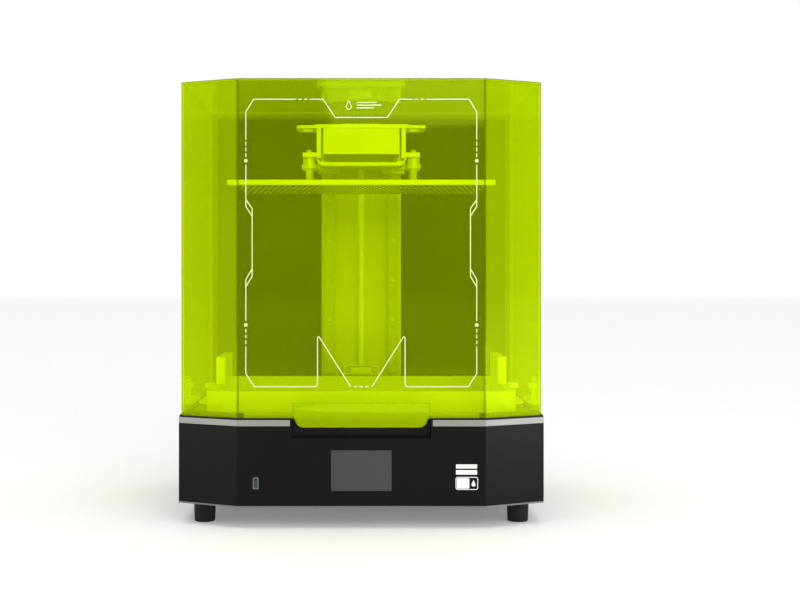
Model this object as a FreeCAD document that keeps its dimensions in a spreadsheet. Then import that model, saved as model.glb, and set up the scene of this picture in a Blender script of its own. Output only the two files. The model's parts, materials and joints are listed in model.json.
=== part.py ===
"""Large-format resin printer, as a parametric assembly.

Millimetres, +Z up, +X to the right, the front faces -Y. The origin is on the floor, in the middle
of the machine's footprint. Each node is one piece of the machine, or one set of identical screws.
"""
import FreeCAD, Part
import math
import os
import re
import Sketcher

SIZES = {
    # Base: outline, sheet metal and heights
    "half_width": 237.5, "half_depth": 200, "rear_face": 197, "front_half": 158.8, "chamfer_depth": 38.5,
    "wall": 2.5, "floor_sheet": 2, "foot_height": 27.5, "body_top": 131, "deck_top": 139, "seal_top": 141,
    "foot_x": 206, "foot_y": 140, "foot_bottom_radius": 13.5, "foot_top_radius": 14.5,
    "vent_pitch": 12, "vent_width": 5, "vent_length": 80,
    # Finger pocket under the hood's pull lip
    "pocket_half": 89, "pocket_floor": 115.6, "pocket_back": -176, "pocket_wall": 2,
    # Front controls
    "screen_half": 38.5, "screen_low": 48.8, "screen_high": 100.4, "module_rim": 5.5,
    "module_depth": 6.5,
    "usb_x": -134.5, "usb_width": 6.5, "usb_low": 51.4, "usb_high": 65.6, "usb_depth": 14, "usb_skin": 0.4,
    # Exposure display and lamp, centred a little in front of the middle
    "lamp_y": -5, "window_half_x": 166.5, "window_half_y": 93.5, "display_half_x": 175,
    "display_half_y": 103, "display_thickness": 2.2, "rebate_gap": 1, "housing_half_x": 170,
    "housing_half_y": 95, "housing_floor": 60, "housing_wall": 2, "lens_low": 118, "lens_plate": 3,
    "lens_radius": 12, "lens_rise": 4, "lens_pitch_x": 43.7, "lens_pitch_y": 34.2, "board_thickness": 1.6,
    "led_board_inset": 8, "led_size": 4, "led_height": 1.2, "sink_half_x": 90, "sink_half_y": 60,
    "sink_base": 4, "fin_pitch": 14.25, "fin_thickness": 2, "fin_height": 11.5,
    # Fans
    "fan_size": 80, "fan_round": 4, "fan_bore_radius": 38, "fan_tip_radius": 36.5, "fan_hub_radius": 15,
    "fan_hub_plate": 2, "strut_half": 1.5, "fan_shaft_radius": 1.5, "shaft_low": 0.5, "shaft_length": 4,
    "rotor_low": 3, "rotor_margin": 1, "blade_margin": 3, "blade_lift": 0.6, "blade_thickness": 1.2,
    "lamp_fan_depth": 14, "exhaust_fan_depth": 25, "exhaust_fan_x": -130, "exhaust_fan_z": 80,
    "grille_hole_radius": 2.6, "grille_pitch": 7.2, "grille_margin": 3, "running_gap": 0.06,
    # Power inlet with its rocker switch
    "inlet_x": 150, "inlet_flange_half": 16, "inlet_low": 52, "inlet_high": 112, "inlet_body_half": 13.5,
    "inlet_body_low": 56, "inlet_body_high": 108, "inlet_body_depth": 30, "socket_half": 12,
    "socket_low": 60, "socket_high": 76.5, "socket_depth": 20, "pin_width": 2, "pin_height": 4,
    "pin_length": 15, "pin_spread": 7, "pin_level": 66, "earth_level": 71, "rocker_z": 93.3,
    "rocker_y": 190.5, "rocker_half": 7.6, "rocker_width": 10, "rocker_tilt": 10, "rocker_key_half": 5,
    "rocker_key_back": 4, "rocker_cheek": 2, "rocker_rim": 8, "rocker_dip": 5.8, "rocker_dip_half": 1.2,
    "rocker_slot_half": 9.2, "rocker_slot_width": 10.6, "rocker_slot_floor": 183, "rocker_pin_radius": 1,
    "rocker_pin_reach": 1, "rocker_pin_room": 1.2,
    # Electronics and drive in the base
    "supply_x": 203, "supply_half_x": 25, "supply_half_y": 90, "supply_height": 38, "supply_gap": 2,
    "supply_leg_radius": 4, "terminal_length": 12, "terminal_side": 4, "terminal_low": 12,
    "terminal_lid": 6, "board_x": -203, "board_half_x": 25, "board_half_y": 90, "board_rise": 10,
    "board_post_radius": 3, "board_post_inset": 5, "chip_left": 16, "chip_right": 14, "chip_margin": 12,
    "chip_pitch": 34, "motor_half": 28.5, "motor_height": 51, "motor_cap": 9, "motor_notch": 5,
    "motor_stack_inset": 1.5, "motor_shaft_radius": 3.175,
    # Column, rails and lead screw
    "column_half": 60.8, "column_front": 148, "column_back": 180, "column_web": 10, "column_side": 15.8,
    "column_top": 552, "back_plate_half": 224, "back_plate_top": 565.5, "back_plate_thickness": 2.5,
    "rail_x": 48.3, "rail_half": 7.5, "rail_depth": 15, "rail_low": 174, "rail_high": 548,
    "rail_flute": 1.6, "rail_flute_low": 6, "rail_flute_high": 11.6,
    "rail_screw_first": 196, "rail_screw_pitch": 60, "rail_head_radius": 4.25, "rail_sink_radius": 4.75,
    "rail_sink_depth": 6, "rail_head_height": 4.5, "rail_shank_radius": 2, "rail_screw_length": 22,
    "rail_socket_depth": 2,
    "screw_y": 134, "screw_radius": 5, "journal_radius": 4, "thread_low": 187, "thread_high": 538,
    "coupler_low": 146, "coupler_high": 170, "coupler_radius": 11, "journal_low": 158,
    "bearing_half": 27.25, "bearing_front": 122.5, "lower_block_low": 172, "lower_block_high": 186,
    "upper_block_low": 539, "bearing_radius": 9.5, "bearing_height": 7, "block_screw_x": 20,
    # Carriage, arm and build plate, near the top of their travel
    "carriage_half": 66, "carriage_front": 110, "carriage_back": 120, "carriage_low": 482,
    "carriage_high": 534, "block_half": 17, "block_low": 476, "block_lift": 4, "rail_slot_gap": 0.35,
    "nut_boss_half": 17, "nut_boss_back": 146, "nut_low": 491, "nut_flange": 5, "nut_flange_radius": 10.5,
    "nut_radius": 8.5, "nut_top": 525,
    "arm_half": 52.7, "arm_front": -62, "arm_low": 489.7, "arm_top": 525.4, "arm_wall": 7,
    "bracket_half": 61.4, "bracket_side": 6.4, "bracket_front": -64, "bracket_back": -4, "bracket_low": 473.3,
    "bracket_floor": 478.6, "bracket_inner_round": 6, "bracket_outer_round": 11,
    "flange_half": 80.8, "flange_low": 485.2, "flange_high": 491.9,
    "cap_half": 64, "cap_top": 530.6, "wing_half": 89.3, "wing_top": 529.4, "wing_round": 7,
    "wing_slot_low": 68, "wing_slot_high": 82, "wing_slot_margin": 11, "wing_slot_round": 4, "post_x": 72,
    "post_front": -54, "post_back": -14, "post_radius": 4.8, "collar_radius": 8.6,
    "wide_collar_radius": 10.5, "wide_collar_low": 470.3, "collar_low": 475.8, "collar_high": 484,
    "bolt_head_radius": 4.2, "bolt_head_height": 3.7, "bolt_radius": 2.5, "bolt_low": 474,
    "bolt_socket_floor": 1.5, "plate_half": 179.5, "plate_front": -112, "plate_back": 102,
    "plate_low": 444.1, "plate_high": 451.3, "plate_round": 4,
    # Resin vat and its clamps
    "vat_half": 206, "vat_front": -140, "vat_back": 122, "vat_wall": 12, "vat_round": 22, "vat_top": 170.3,
    "vat_low": 143.5, "film_half_x": 183, "film_front": -118, "film_back": 104, "film_thickness": 0.25,
    "vat_screw_inset": 6, "vat_screw_radius": 1.5, "vat_screw_top": 151,
    "ear_half_x": 227, "ear_root_half": 64, "ear_tip_half": 36, "ear_overlap": 2, "ear_round": 9,
    "ear_top": 147.2, "clamp_x": 215.5, "clamp_y": 4, "clamp_radius": 2, "clamp_low": 132,
    "clamp_shoulder_radius": 4, "clamp_shoulder_low": 147.3, "clamp_shoulder_top": 150.4,
    "knob_radius": 7.2, "knob_low": 162.6, "knob_top": 170.8, "flute_radius": 0.7, "flute_outset": 0.3,
    "handle_low_x": 187.4, "handle_high_x": 200, "handle_front": -60, "handle_back": 45,
    "handle_low": 173.3, "handle_top": 210.4, "handle_round": 3, "handle_edge": 1.5,
    "handle_foot_x": 194.5, "handle_foot_length": 20, "handle_foot_inset": 10,
    # Lift-off hood
    "hood_inset": 3, "hood_wall": 4, "hood_gap": 0.3, "hood_top": 575, "hood_rear": 192, "hood_bevel": 12,
    "seal_outset": 0.5, "seal_inset": 8, "seal_back": 184, "guide_inset": 8.5, "guide_wall": 3,
    "guide_top": 147, "guide_return": 6, "lip_top": 161, "lip_bend": 147, "lip_low": 129.5, "lip_wall": 4,
    "lip_half_top": 88, "lip_half_low": 80.5, "lip_round": 6,
    # Case screws
    "case_head_radius": 3, "case_head_height": 1.8, "case_screw_inner": 60, "case_screw_outer": 220,
    "case_screw_low": 38, "case_screw_high": 123,
}

doc = FreeCAD.newDocument("resin_printer")
sheet = doc.addObject("Spreadsheet::Sheet", "dims")
NODES = []


def fill_sheet():
    """One row for each driving size: its name in column A, its value and alias in column B."""
    for row, (name, value) in enumerate(SIZES.items(), start=1):
        sheet.set(f"A{row}", name)
        sheet.set(f"B{row}", str(value))
        sheet.setAlias(f"B{row}", name)
    doc.recompute()


def formula(size):
    """A size written with the sheet's names, as an expression that reads the sheet."""
    return re.sub(r"[a-z][a-z_]+", lambda word: "dims." + word[0] if word[0] in SIZES else word[0], str(size))


def number(size):
    """The value that a size has now."""
    return float(sheet.evalExpression(formula(size)))


def node(label, item):
    """Names a finished piece, which makes it a node."""
    item.Label = label
    NODES.append(item)
    return item


def place(item, x=0, y=0, z=0):
    for axis, size in zip("xyz", (x, y, z)):
        item.setExpression(".Placement.Base." + axis, formula(size))
    return item


# ---------------------------------------------------------------- shapes

def box(low, high):
    """A block between two corners."""
    item = doc.addObject("Part::Box", "block")
    for side, start, stop in zip(("Length", "Width", "Height"), low, high):
        item.setExpression(side, formula(f"({stop}) - ({start})"))
    return place(item, *low)


TURNS = {
    "X": FreeCAD.Rotation(FreeCAD.Vector(0, 1, 0), 90),
    "Y": FreeCAD.Rotation(FreeCAD.Vector(1, 0, 0), -90),
    "Z": FreeCAD.Rotation(),
}


def rod(radius, start, length, axis="Z"):
    """A cylinder from a start point, along an axis."""
    item = doc.addObject("Part::Cylinder", "rod")
    item.setExpression("Radius", formula(radius))
    item.setExpression("Height", formula(length))
    item.Placement = FreeCAD.Placement(FreeCAD.Vector(), TURNS[axis])
    return place(item, *start)


def fuse(*items):
    item = doc.addObject("Part::MultiFuse", "joined")
    item.Shapes = list(items)
    return item


def cut(base, *tools):
    item = doc.addObject("Part::Cut", "cut")
    item.Base = base
    item.Tool = tools[0] if len(tools) == 1 else fuse(*tools)
    return item


def common(first, second):
    item = doc.addObject("Part::Common", "shared")
    item.Base = first
    item.Tool = second
    return item


def group(*items):
    """Identical pieces that share a node, as separate solids."""
    item = doc.addObject("Part::Compound", "set")
    item.Links = list(items)
    return item


def draw(body, plane, points):
    """A closed outline in one of the body's own planes, each corner tied to the sheet."""
    sketch = body.newObject("Sketcher::SketchObject", "outline")
    support = [part for part in body.Origin.OriginFeatures if part.Role == plane + "_Plane"][0]
    sketch.AttachmentSupport = [(support, "")]
    sketch.MapMode = "FlatFace"
    corners = [FreeCAD.Vector(number(u), number(v), 0) for u, v in points]
    for index, corner in enumerate(corners):
        sketch.addGeometry(Part.LineSegment(corner, corners[(index + 1) % len(corners)]))
    for index, point in enumerate(points):
        sketch.addConstraint(Sketcher.Constraint("Coincident", index, 2, (index + 1) % len(points), 1))
        for direction, size in zip("XY", point):
            row = sketch.addConstraint(
                Sketcher.Constraint("Distance" + direction, -1, 1, index, 1, number(size)))
            sketch.setExpression(f"Constraints[{row}]", formula(size))
    return sketch


def prism(plane, points, start, length):
    """An outline in the XY, XZ or YZ plane, made solid along the third axis from a start."""
    body = doc.addObject("PartDesign::Body", "body")
    pad = body.newObject("PartDesign::Pad", "pad")
    pad.Profile = draw(body, plane, points)
    pad.setExpression("Length", formula(length))
    pad.Reversed = plane == "XZ"
    place(body, **{{"XY": "z", "XZ": "y", "YZ": "x"}[plane]: start})
    return body


def rounded(body, radius, chosen):
    """Rounds the edges of a body that a test picks by their two end points."""
    doc.recompute()
    feature = body.newObject("PartDesign::Fillet", "rounding")
    base = feature.getPropertyByName("BaseFeature") or body.Group[-2]
    names = [f"Edge{index + 1}" for index, edge in enumerate(base.Shape.Edges)
             if len(edge.Vertexes) == 2 and chosen(edge.Vertexes[0].Point, edge.Vertexes[1].Point)]
    feature.Base = (base, names)
    feature.setExpression("Radius", formula(radius))
    body.Tip = feature
    return body


def upright(first, last):
    """True for an edge along Z."""
    return abs(first.x - last.x) < 1e-3 and abs(first.y - last.y) < 1e-3


def plate(low, high, radius):
    """A flat plate with its four upright edges rounded."""
    corners = [(low[0], low[1]), (high[0], low[1]), (high[0], high[1]), (low[0], high[1])]
    return rounded(prism("XY", corners, low[2], f"({high[2]}) - ({low[2]})"), radius, upright)


# ---------------------------------------------------------------- the chamfered plan

CHAMFER = "atan(chamfer_depth / (half_width - front_half))"
FLOOR_TOP = "foot_height + floor_sheet"
SHOULDER_Y = "-half_depth + chamfer_depth"


def front_corner(inset):
    """Where the front meets the right chamfer, on a line inset from the outline."""
    return f"(front_half - ({inset}) * tan({CHAMFER} / 2))", f"(-half_depth + ({inset}))"


def side_corner(inset):
    """Where the right chamfer meets the side, on a line inset from the outline."""
    return f"(half_width - ({inset}))", f"({SHOULDER_Y} + ({inset}) * tan((90 deg - {CHAMFER}) / 2))"


def mirrored(points):
    return [(f"-({x})", y) for x, y in reversed(points)]


def outline(inset, rear):
    """The plan of the machine: square at the back, chamfered at both front corners."""
    right = [front_corner(inset), side_corner(inset), (f"half_width - ({inset})", rear)]
    return right + mirrored(right)


# ---------------------------------------------------------------- base: case

def bottom_plate():
    sheet_metal = prism("XY", outline("0", "rear_face"), "foot_height", "floor_sheet")
    slots = []
    for step in range(-6, 7):
        x = f"{step} * vent_pitch - vent_width / 2"
        slots.append(box((x, "lamp_y - vent_length / 2", "foot_height - 1"),
                         (f"{x} + vent_width", "lamp_y + vent_length / 2", f"{FLOOR_TOP} + 1")))
    node("bottom_plate", cut(sheet_metal, *slots))


def front_fascia():
    """Black front sheet, bent back along both chamfers, with its three cut-outs."""
    inner_end = f"half_width - wall / sin({CHAMFER})"
    right = [front_corner("0"), side_corner("0"), (inner_end, SHOULDER_Y), front_corner("wall")]
    points = right + [(f"-({x})", y) for x, y in reversed(right)]
    sheet_metal = prism("XY", points, FLOOR_TOP, f"body_top - ({FLOOR_TOP})")
    front, back = "-half_depth - 1", "-half_depth + wall + 1"
    screen = box(("-screen_half", front, "screen_low"), ("screen_half", back, "screen_high"))
    usb = box(("usb_x - usb_width / 2", front, "usb_low"), ("usb_x + usb_width / 2", back, "usb_high"))
    notch = box(("-pocket_half", front, "pocket_floor"), ("pocket_half", back, "body_top + 1"))
    node("front_fascia", cut(sheet_metal, screen, usb, notch))


def grille_holes():
    """Round holes in a hexagonal pattern behind the exhaust fan."""
    holes = []
    for row in range(-5, 6):
        for column in range(-5, 6):
            across = column + (row % 2) / 2
            up = row * math.sqrt(3) / 2
            if math.hypot(across, up) * SIZES["grille_pitch"] < number("fan_tip_radius - grille_margin"):
                start = (f"exhaust_fan_x + {across} * grille_pitch", "rear_face - wall - 1",
                         f"exhaust_fan_z + {up:.6f} * grille_pitch")
                holes.append(rod("grille_hole_radius", start, "wall + 2", "Y"))
    return holes


def case_wrap():
    """Black sheet bent round both sides and the back."""
    inner_x, inner_y = "half_width - wall", "rear_face - wall"
    right = [(inner_x, inner_y), (inner_x, SHOULDER_Y), ("half_width", SHOULDER_Y),
             ("half_width", "rear_face")]
    sheet_metal = prism("XY", right + mirrored(right), FLOOR_TOP, f"body_top - ({FLOOR_TOP})")
    opening = box(("inlet_x - inlet_body_half", "rear_face - wall - 1", "inlet_body_low"),
                  ("inlet_x + inlet_body_half", "rear_face + 1", "inlet_body_high"))
    node("case_wrap", cut(sheet_metal, opening, *grille_holes()))


def feet():
    items = []
    for side in (-1, 1):
        for end in (-1, 1):
            foot = doc.addObject("Part::Cone", "foot")
            foot.setExpression("Radius1", formula("foot_bottom_radius"))
            foot.setExpression("Radius2", formula("foot_top_radius"))
            foot.setExpression("Height", formula("foot_height"))
            items.append(place(foot, f"{side} * foot_x", f"{end} * foot_y", 0))
    node("feet", group(*items))


def finger_pocket():
    """Black tub under the pull lip, roofed behind the hood's front panel."""
    outer_half = "pocket_half + pocket_wall"
    front = "-half_depth + wall"
    back = "pocket_back + pocket_wall"
    block = box((f"-({outer_half})", front, "pocket_floor - pocket_wall"), (outer_half, back, "seal_top"))
    hollow = box(("-pocket_half", f"{front} - 1", "pocket_floor"),
                 ("pocket_half", "pocket_back", "deck_top"))
    over_panel = box((f"-({outer_half}) - 1", f"{front} - 1", "deck_top"),
                     (f"{outer_half} + 1", "-half_depth + hood_inset + hood_wall + hood_gap", "seal_top + 1"))
    node("finger_pocket", cut(block, hollow, over_panel))


def deck_plate():
    """Machined deck: display window with a rebate, finger notch, drive hole and clamp holes."""
    blank = prism("XY", outline("0", "rear_face"), "body_top", "deck_top - body_top")
    below, above = "body_top - 1", "deck_top + 1"
    window = box(("-window_half_x", "lamp_y - window_half_y", below),
                 ("window_half_x", "lamp_y + window_half_y", above))
    half_x, half_y = "(display_half_x + rebate_gap)", "(display_half_y + rebate_gap)"
    rebate = box((f"-{half_x}", f"lamp_y - {half_y}", "deck_top - display_thickness"),
                 (half_x, f"lamp_y + {half_y}", above))
    notch_half = "pocket_half + pocket_wall"
    notch = box((f"-({notch_half})", "-half_depth - 1", below),
                (notch_half, "pocket_back + pocket_wall", above))
    drive = rod("2 * journal_radius", ("0", "screw_y", below), "deck_top - body_top + 2")
    clamps = [rod("clamp_radius + running_gap", (x, y, below), "deck_top - body_top + 2")
              for x, y in clamp_places()]
    node("deck_plate", cut(blank, window, rebate, notch, drive, *clamps))


def deck_seal():
    """Rubber strip that the hood stands on, open at the finger pocket."""
    strip = prism("XY", outline("seal_outset", "rear_face - seal_outset"), "deck_top", "seal_top - deck_top")
    middle = prism("XY", outline("seal_inset", "seal_back"), "deck_top - 1", "seal_top - deck_top + 2")
    notch_half = "pocket_half + pocket_wall"
    gap = box((f"-({notch_half})", "-half_depth - 1", "deck_top - 1"),
              (notch_half, "pocket_back", "seal_top + 1"))
    node("deck_seal", cut(strip, middle, gap))


def hood_guides():
    """Low strips just inside the hood's front chamfers, which centre it as it comes down."""
    outer, inner = "guide_inset", "guide_inset + guide_wall"
    end_x = f"{front_corner(outer)[0]} - guide_return"
    right = [(end_x, front_corner(outer)[1]), front_corner(outer), side_corner(outer), side_corner(inner),
             front_corner(inner), (end_x, front_corner(inner)[1])]
    strips = [prism("XY", points, "deck_top", "guide_top - deck_top")
              for points in (right, mirrored(right))]
    node("hood_guides", group(*strips))


def clamp_places():
    return [("-clamp_x", "clamp_y"), ("clamp_x", "clamp_y")]


# ---------------------------------------------------------------- base: controls

def front_controls():
    face, back = "-half_depth", "-half_depth + wall"
    node("screen_glass", box(("-screen_half", face, "screen_low"), ("screen_half", back, "screen_high")))
    module = box(("-screen_half - module_rim", back, "screen_low - module_rim"),
                 ("screen_half + module_rim", f"{back} + module_depth", "screen_high + module_rim"))
    node("screen_module", module)
    left, right = "usb_x - usb_width / 2", "usb_x + usb_width / 2"
    shell = box((left, face, "usb_low"), (right, f"{face} + usb_depth", "usb_high"))
    hollow = box((f"{left} + usb_skin", f"{face} - 1", "usb_low + usb_skin"),
                 (f"{right} - usb_skin", f"{face} + usb_depth - usb_skin", "usb_high - usb_skin"))
    node("usb_port", cut(shell, hollow))


def power_inlet():
    """Appliance inlet and switch housing in one moulding, let into the back."""
    out = "half_depth"
    flange = box(("inlet_x - inlet_flange_half", "rear_face", "inlet_low"),
                 ("inlet_x + inlet_flange_half", out, "inlet_high"))
    block = box(("inlet_x - inlet_body_half", "rear_face - inlet_body_depth", "inlet_body_low"),
                ("inlet_x + inlet_body_half", "rear_face", "inlet_body_high"))
    socket = box(("inlet_x - socket_half", f"{out} - socket_depth", "socket_low"),
                 ("inlet_x + socket_half", f"{out} + 1", "socket_high"))
    slot = box(("inlet_x - rocker_slot_half", "rocker_slot_floor", "rocker_z - rocker_slot_width / 2"),
               ("inlet_x + rocker_slot_half", f"{out} + 1", "rocker_z + rocker_slot_width / 2"))
    pivot_low = "rocker_z - rocker_slot_width / 2 - rocker_pin_room"
    pivot = rod("rocker_pin_radius + running_gap", ("inlet_x", "rocker_y", pivot_low),
                "rocker_slot_width + 2 * rocker_pin_room")
    node("power_inlet", cut(fuse(flange, block), socket, slot, pivot))
    pins = []
    floor = f"{out} - socket_depth"
    for across, z in ((-1, "pin_level"), (1, "pin_level"), (0, "earth_level")):
        middle = f"inlet_x + {across} * pin_spread"
        pins.append(box((f"{middle} - pin_width / 2", floor, f"{z} - pin_height / 2"),
                        (f"{middle} + pin_width / 2", f"{floor} + pin_length", f"{z} + pin_height / 2")))
    node("inlet_pins", group(*pins))


def power_rocker():
    """Rocker with a hollow face, tipped to its off side about an upright pivot."""
    profile = [("-rocker_key_half", "-rocker_key_back"), ("rocker_key_half", "-rocker_key_back"),
               ("rocker_half", "rocker_cheek"), ("rocker_half", "rocker_rim"),
               ("rocker_dip_half", "rocker_dip"), ("-rocker_dip_half", "rocker_dip"),
               ("-rocker_half", "rocker_rim"), ("-rocker_half", "rocker_cheek")]
    key = prism("XY", profile, "-rocker_width / 2", "rocker_width")
    pin = rod("rocker_pin_radius", ("0", "0", "-rocker_width / 2 - rocker_pin_reach"),
              "rocker_width + 2 * rocker_pin_reach")
    rocker = fuse(key, pin)
    turn = FreeCAD.Rotation(FreeCAD.Vector(0, 0, 1), -SIZES["rocker_tilt"])
    rocker.Placement = FreeCAD.Placement(FreeCAD.Vector(), turn)
    node("power_rocker", place(rocker, "inlet_x", "rocker_y", "rocker_z"))


# ---------------------------------------------------------------- base: fans

BLADES, BLADE_PITCH = 7, 40


def fan_frame(depth):
    """Square frame with a round bore and four struts that carry the hub, standing on z = 0."""
    half = "fan_size / 2"
    blank = plate((f"-{half}", f"-{half}", "0"), (half, half, depth), "fan_round")
    bore = rod("fan_bore_radius", ("0", "0", "-1"), f"{depth} + 2")
    hub = cut(rod("fan_hub_radius", ("0", "0", "0"), "fan_hub_plate"),
              rod("fan_shaft_radius + running_gap", ("0", "0", "-1"), "fan_hub_plate + 2"))
    struts = []
    for turn in range(4):
        strut = box(("fan_hub_radius - 1", "-strut_half", "0"),
                    ("fan_bore_radius + 1", "strut_half", "fan_hub_plate"))
        spun = doc.addObject("Part::Compound", "strut")
        spun.Links = [strut]
        spun.Placement = FreeCAD.Placement(
            FreeCAD.Vector(), FreeCAD.Rotation(FreeCAD.Vector(0, 0, 1), 45 + 90 * turn))
        struts.append(spun)
    return fuse(cut(blank, bore), hub, *struts)


def fan_rotor(depth):
    """Hub with seven pitched blades and its shaft, clear of the frame all round."""
    hub = rod("fan_hub_radius", ("0", "0", "rotor_low"), f"{depth} - rotor_low - rotor_margin")
    shaft = rod("fan_shaft_radius", ("0", "0", "shaft_low"), "shaft_length")
    pieces = [hub, shaft]
    half_chord = f"({depth} / 2 - blade_margin)"
    for turn in range(BLADES):
        blade = box(("fan_hub_radius - 1", "-blade_thickness / 2", f"-{half_chord}"),
                    ("fan_tip_radius", "blade_thickness / 2", half_chord))
        pitched = doc.addObject("Part::Compound", "blade")
        pitched.Links = [blade]
        spin = FreeCAD.Rotation(FreeCAD.Vector(0, 0, 1), 360 / BLADES * turn)
        pitch = FreeCAD.Rotation(FreeCAD.Vector(1, 0, 0), BLADE_PITCH)
        pitched.Placement = FreeCAD.Placement(FreeCAD.Vector(), spin.multiply(pitch))
        pitched.setExpression(".Placement.Base.z", formula(f"{depth} / 2 + blade_lift"))
        pieces.append(pitched)
    return fuse(*pieces)


def fans():
    for kind, build in (("frame", fan_frame), ("rotor", fan_rotor)):
        lamp_fan = build("lamp_fan_depth")
        node("lamp_fan_" + kind, place(lamp_fan, "0", "lamp_y", FLOOR_TOP))
        exhaust_fan = build("exhaust_fan_depth")
        exhaust_fan.Placement = FreeCAD.Placement(FreeCAD.Vector(), TURNS["Y"])
        start = "rear_face - wall - exhaust_fan_depth"
        node("exhaust_fan_" + kind, place(exhaust_fan, "exhaust_fan_x", start, "exhaust_fan_z"))


# ---------------------------------------------------------------- base: lamp and electronics

def lamp():
    bottom = "deck_top - display_thickness"
    node("lcd_panel", box(("-display_half_x", "lamp_y - display_half_y", bottom),
                          ("display_half_x", "lamp_y + display_half_y", "deck_top")))
    shell = box(("-housing_half_x", "lamp_y - housing_half_y", "housing_floor"),
                ("housing_half_x", "lamp_y + housing_half_y", "body_top"))
    inner_x, inner_y = "(housing_half_x - housing_wall)", "(housing_half_y - housing_wall)"
    hollow = box((f"-{inner_x}", f"lamp_y - {inner_y}", "housing_floor + housing_wall"),
                 (inner_x, f"lamp_y + {inner_y}", "body_top + 1"))
    node("lamp_housing", cut(shell, hollow))
    lens_plate = box((f"-{inner_x}", f"lamp_y - {inner_y}", "lens_low"),
                     (inner_x, f"lamp_y + {inner_y}", "lens_low + lens_plate"))
    led_bottom = "housing_floor + housing_wall"
    led_half_x, led_half_y = "(housing_half_x - led_board_inset)", "(housing_half_y - led_board_inset)"
    led_plate = box((f"-{led_half_x}", f"lamp_y - {led_half_y}", led_bottom),
                    (led_half_x, f"lamp_y + {led_half_y}", f"{led_bottom} + board_thickness"))
    lenses = []
    leds = []
    for column in range(-3, 4):
        for row in range(-2, 3):
            x, y = f"{column} * lens_pitch_x", f"lamp_y + {row} * lens_pitch_y"
            lenses.append(rod("lens_radius", (x, y, "lens_low - lens_rise"), "lens_rise + 1"))
            leds.append(box((f"{x} - led_size / 2", f"{y} - led_size / 2", f"{led_bottom} + 1"),
                            (f"{x} + led_size / 2", f"{y} + led_size / 2",
                             f"{led_bottom} + board_thickness + led_height")))
    node("lens_array", fuse(lens_plate, *lenses))
    node("led_board", fuse(led_plate, *leds))
    fins = [box(("-sink_half_x", "lamp_y - sink_half_y", "housing_floor - sink_base"),
                ("sink_half_x", "lamp_y + sink_half_y", "housing_floor"))]
    for step in range(-4, 5):
        y = f"lamp_y + {step} * fin_pitch"
        root = "housing_floor - sink_base"
        fins.append(box(("-sink_half_x", f"{y} - fin_thickness / 2", f"{root} - fin_height"),
                        ("sink_half_x", f"{y} + fin_thickness / 2", f"{root} + 1")))
    node("led_heat_sink", fuse(*fins))


# Length along Y and height of each block of components on the main board.
CHIPS = (("18", "11"), ("26", "3"), ("14", "8"), ("22", "14"), ("12", "9"))


def electronics():
    low = f"{FLOOR_TOP} + supply_gap"
    supply = box(("supply_x - supply_half_x", "-supply_half_y", low),
                 ("supply_x + supply_half_x", "supply_half_y", f"{low} + supply_height"))
    legs = [rod("supply_leg_radius", ("supply_x", f"{end} * (supply_half_y - terminal_length)", FLOOR_TOP),
                "supply_gap + 1") for end in (-1, 1)]
    recess_half = "(supply_half_x - terminal_side)"
    lid = f"{low} + supply_height - terminal_lid"
    terminals = box((f"supply_x - {recess_half}", "supply_half_y - terminal_length", f"{low} + terminal_low"),
                    (f"supply_x + {recess_half}", "supply_half_y + 1", lid))
    node("power_supply", cut(fuse(supply, *legs), terminals))
    level = f"{FLOOR_TOP} + board_rise"
    pieces = [box(("board_x - board_half_x", "-board_half_y", level),
                  ("board_x + board_half_x", "board_half_y", f"{level} + board_thickness"))]
    for end in (-1, 1):
        for side in (-1, 1):
            x = f"board_x + {side} * (board_half_x - board_post_inset)"
            y = f"{end} * (board_half_y - board_post_inset)"
            pieces.append(rod("board_post_radius", (x, y, FLOOR_TOP), "board_rise + 1"))
    for step, (length, height) in enumerate(CHIPS):
        start = f"-board_half_y + chip_margin + {step} * chip_pitch"
        pieces.append(box(("board_x - chip_left", start, f"{level} + 1"),
                          ("board_x + chip_right", f"{start} + {length}",
                           f"{level} + board_thickness + {height}")))
    node("main_board", fuse(*pieces))


def z_motor():
    """Square stepper motor hung under the deck, its end caps separated by the slimmer stack."""
    top, bottom = "body_top", "body_top - motor_height"
    notched = "motor_half - motor_notch"
    corners = [("motor_half", f"-({notched})"), ("motor_half", notched), (notched, "motor_half"),
               (f"-({notched})", "motor_half"), ("-motor_half", notched), ("-motor_half", f"-({notched})"),
               (f"-({notched})", "-motor_half"), (notched, "-motor_half")]
    pieces = []
    for start, length in ((bottom, "motor_cap"), (f"{top} - motor_cap", "motor_cap")):
        cap = prism("XY", corners, start, length)
        pieces.append(place(cap, "0", "screw_y", start))
    stack_half = "(motor_half - motor_stack_inset)"
    pieces.append(box((f"-{stack_half}", f"screw_y - {stack_half}", f"{bottom} + motor_cap - 1"),
                      (stack_half, f"screw_y + {stack_half}", f"{top} - motor_cap + 1")))
    bore = rod("motor_shaft_radius + running_gap", ("0", "screw_y", f"{top} - motor_cap - 1"),
               "motor_cap + 2")
    node("z_motor", cut(fuse(*pieces), bore))


# ---------------------------------------------------------------- column and drive

RAIL_SCREWS = 6


def rail_screw_heights():
    return [f"rail_screw_first + {step} * rail_screw_pitch" for step in range(RAIL_SCREWS)]


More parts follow.
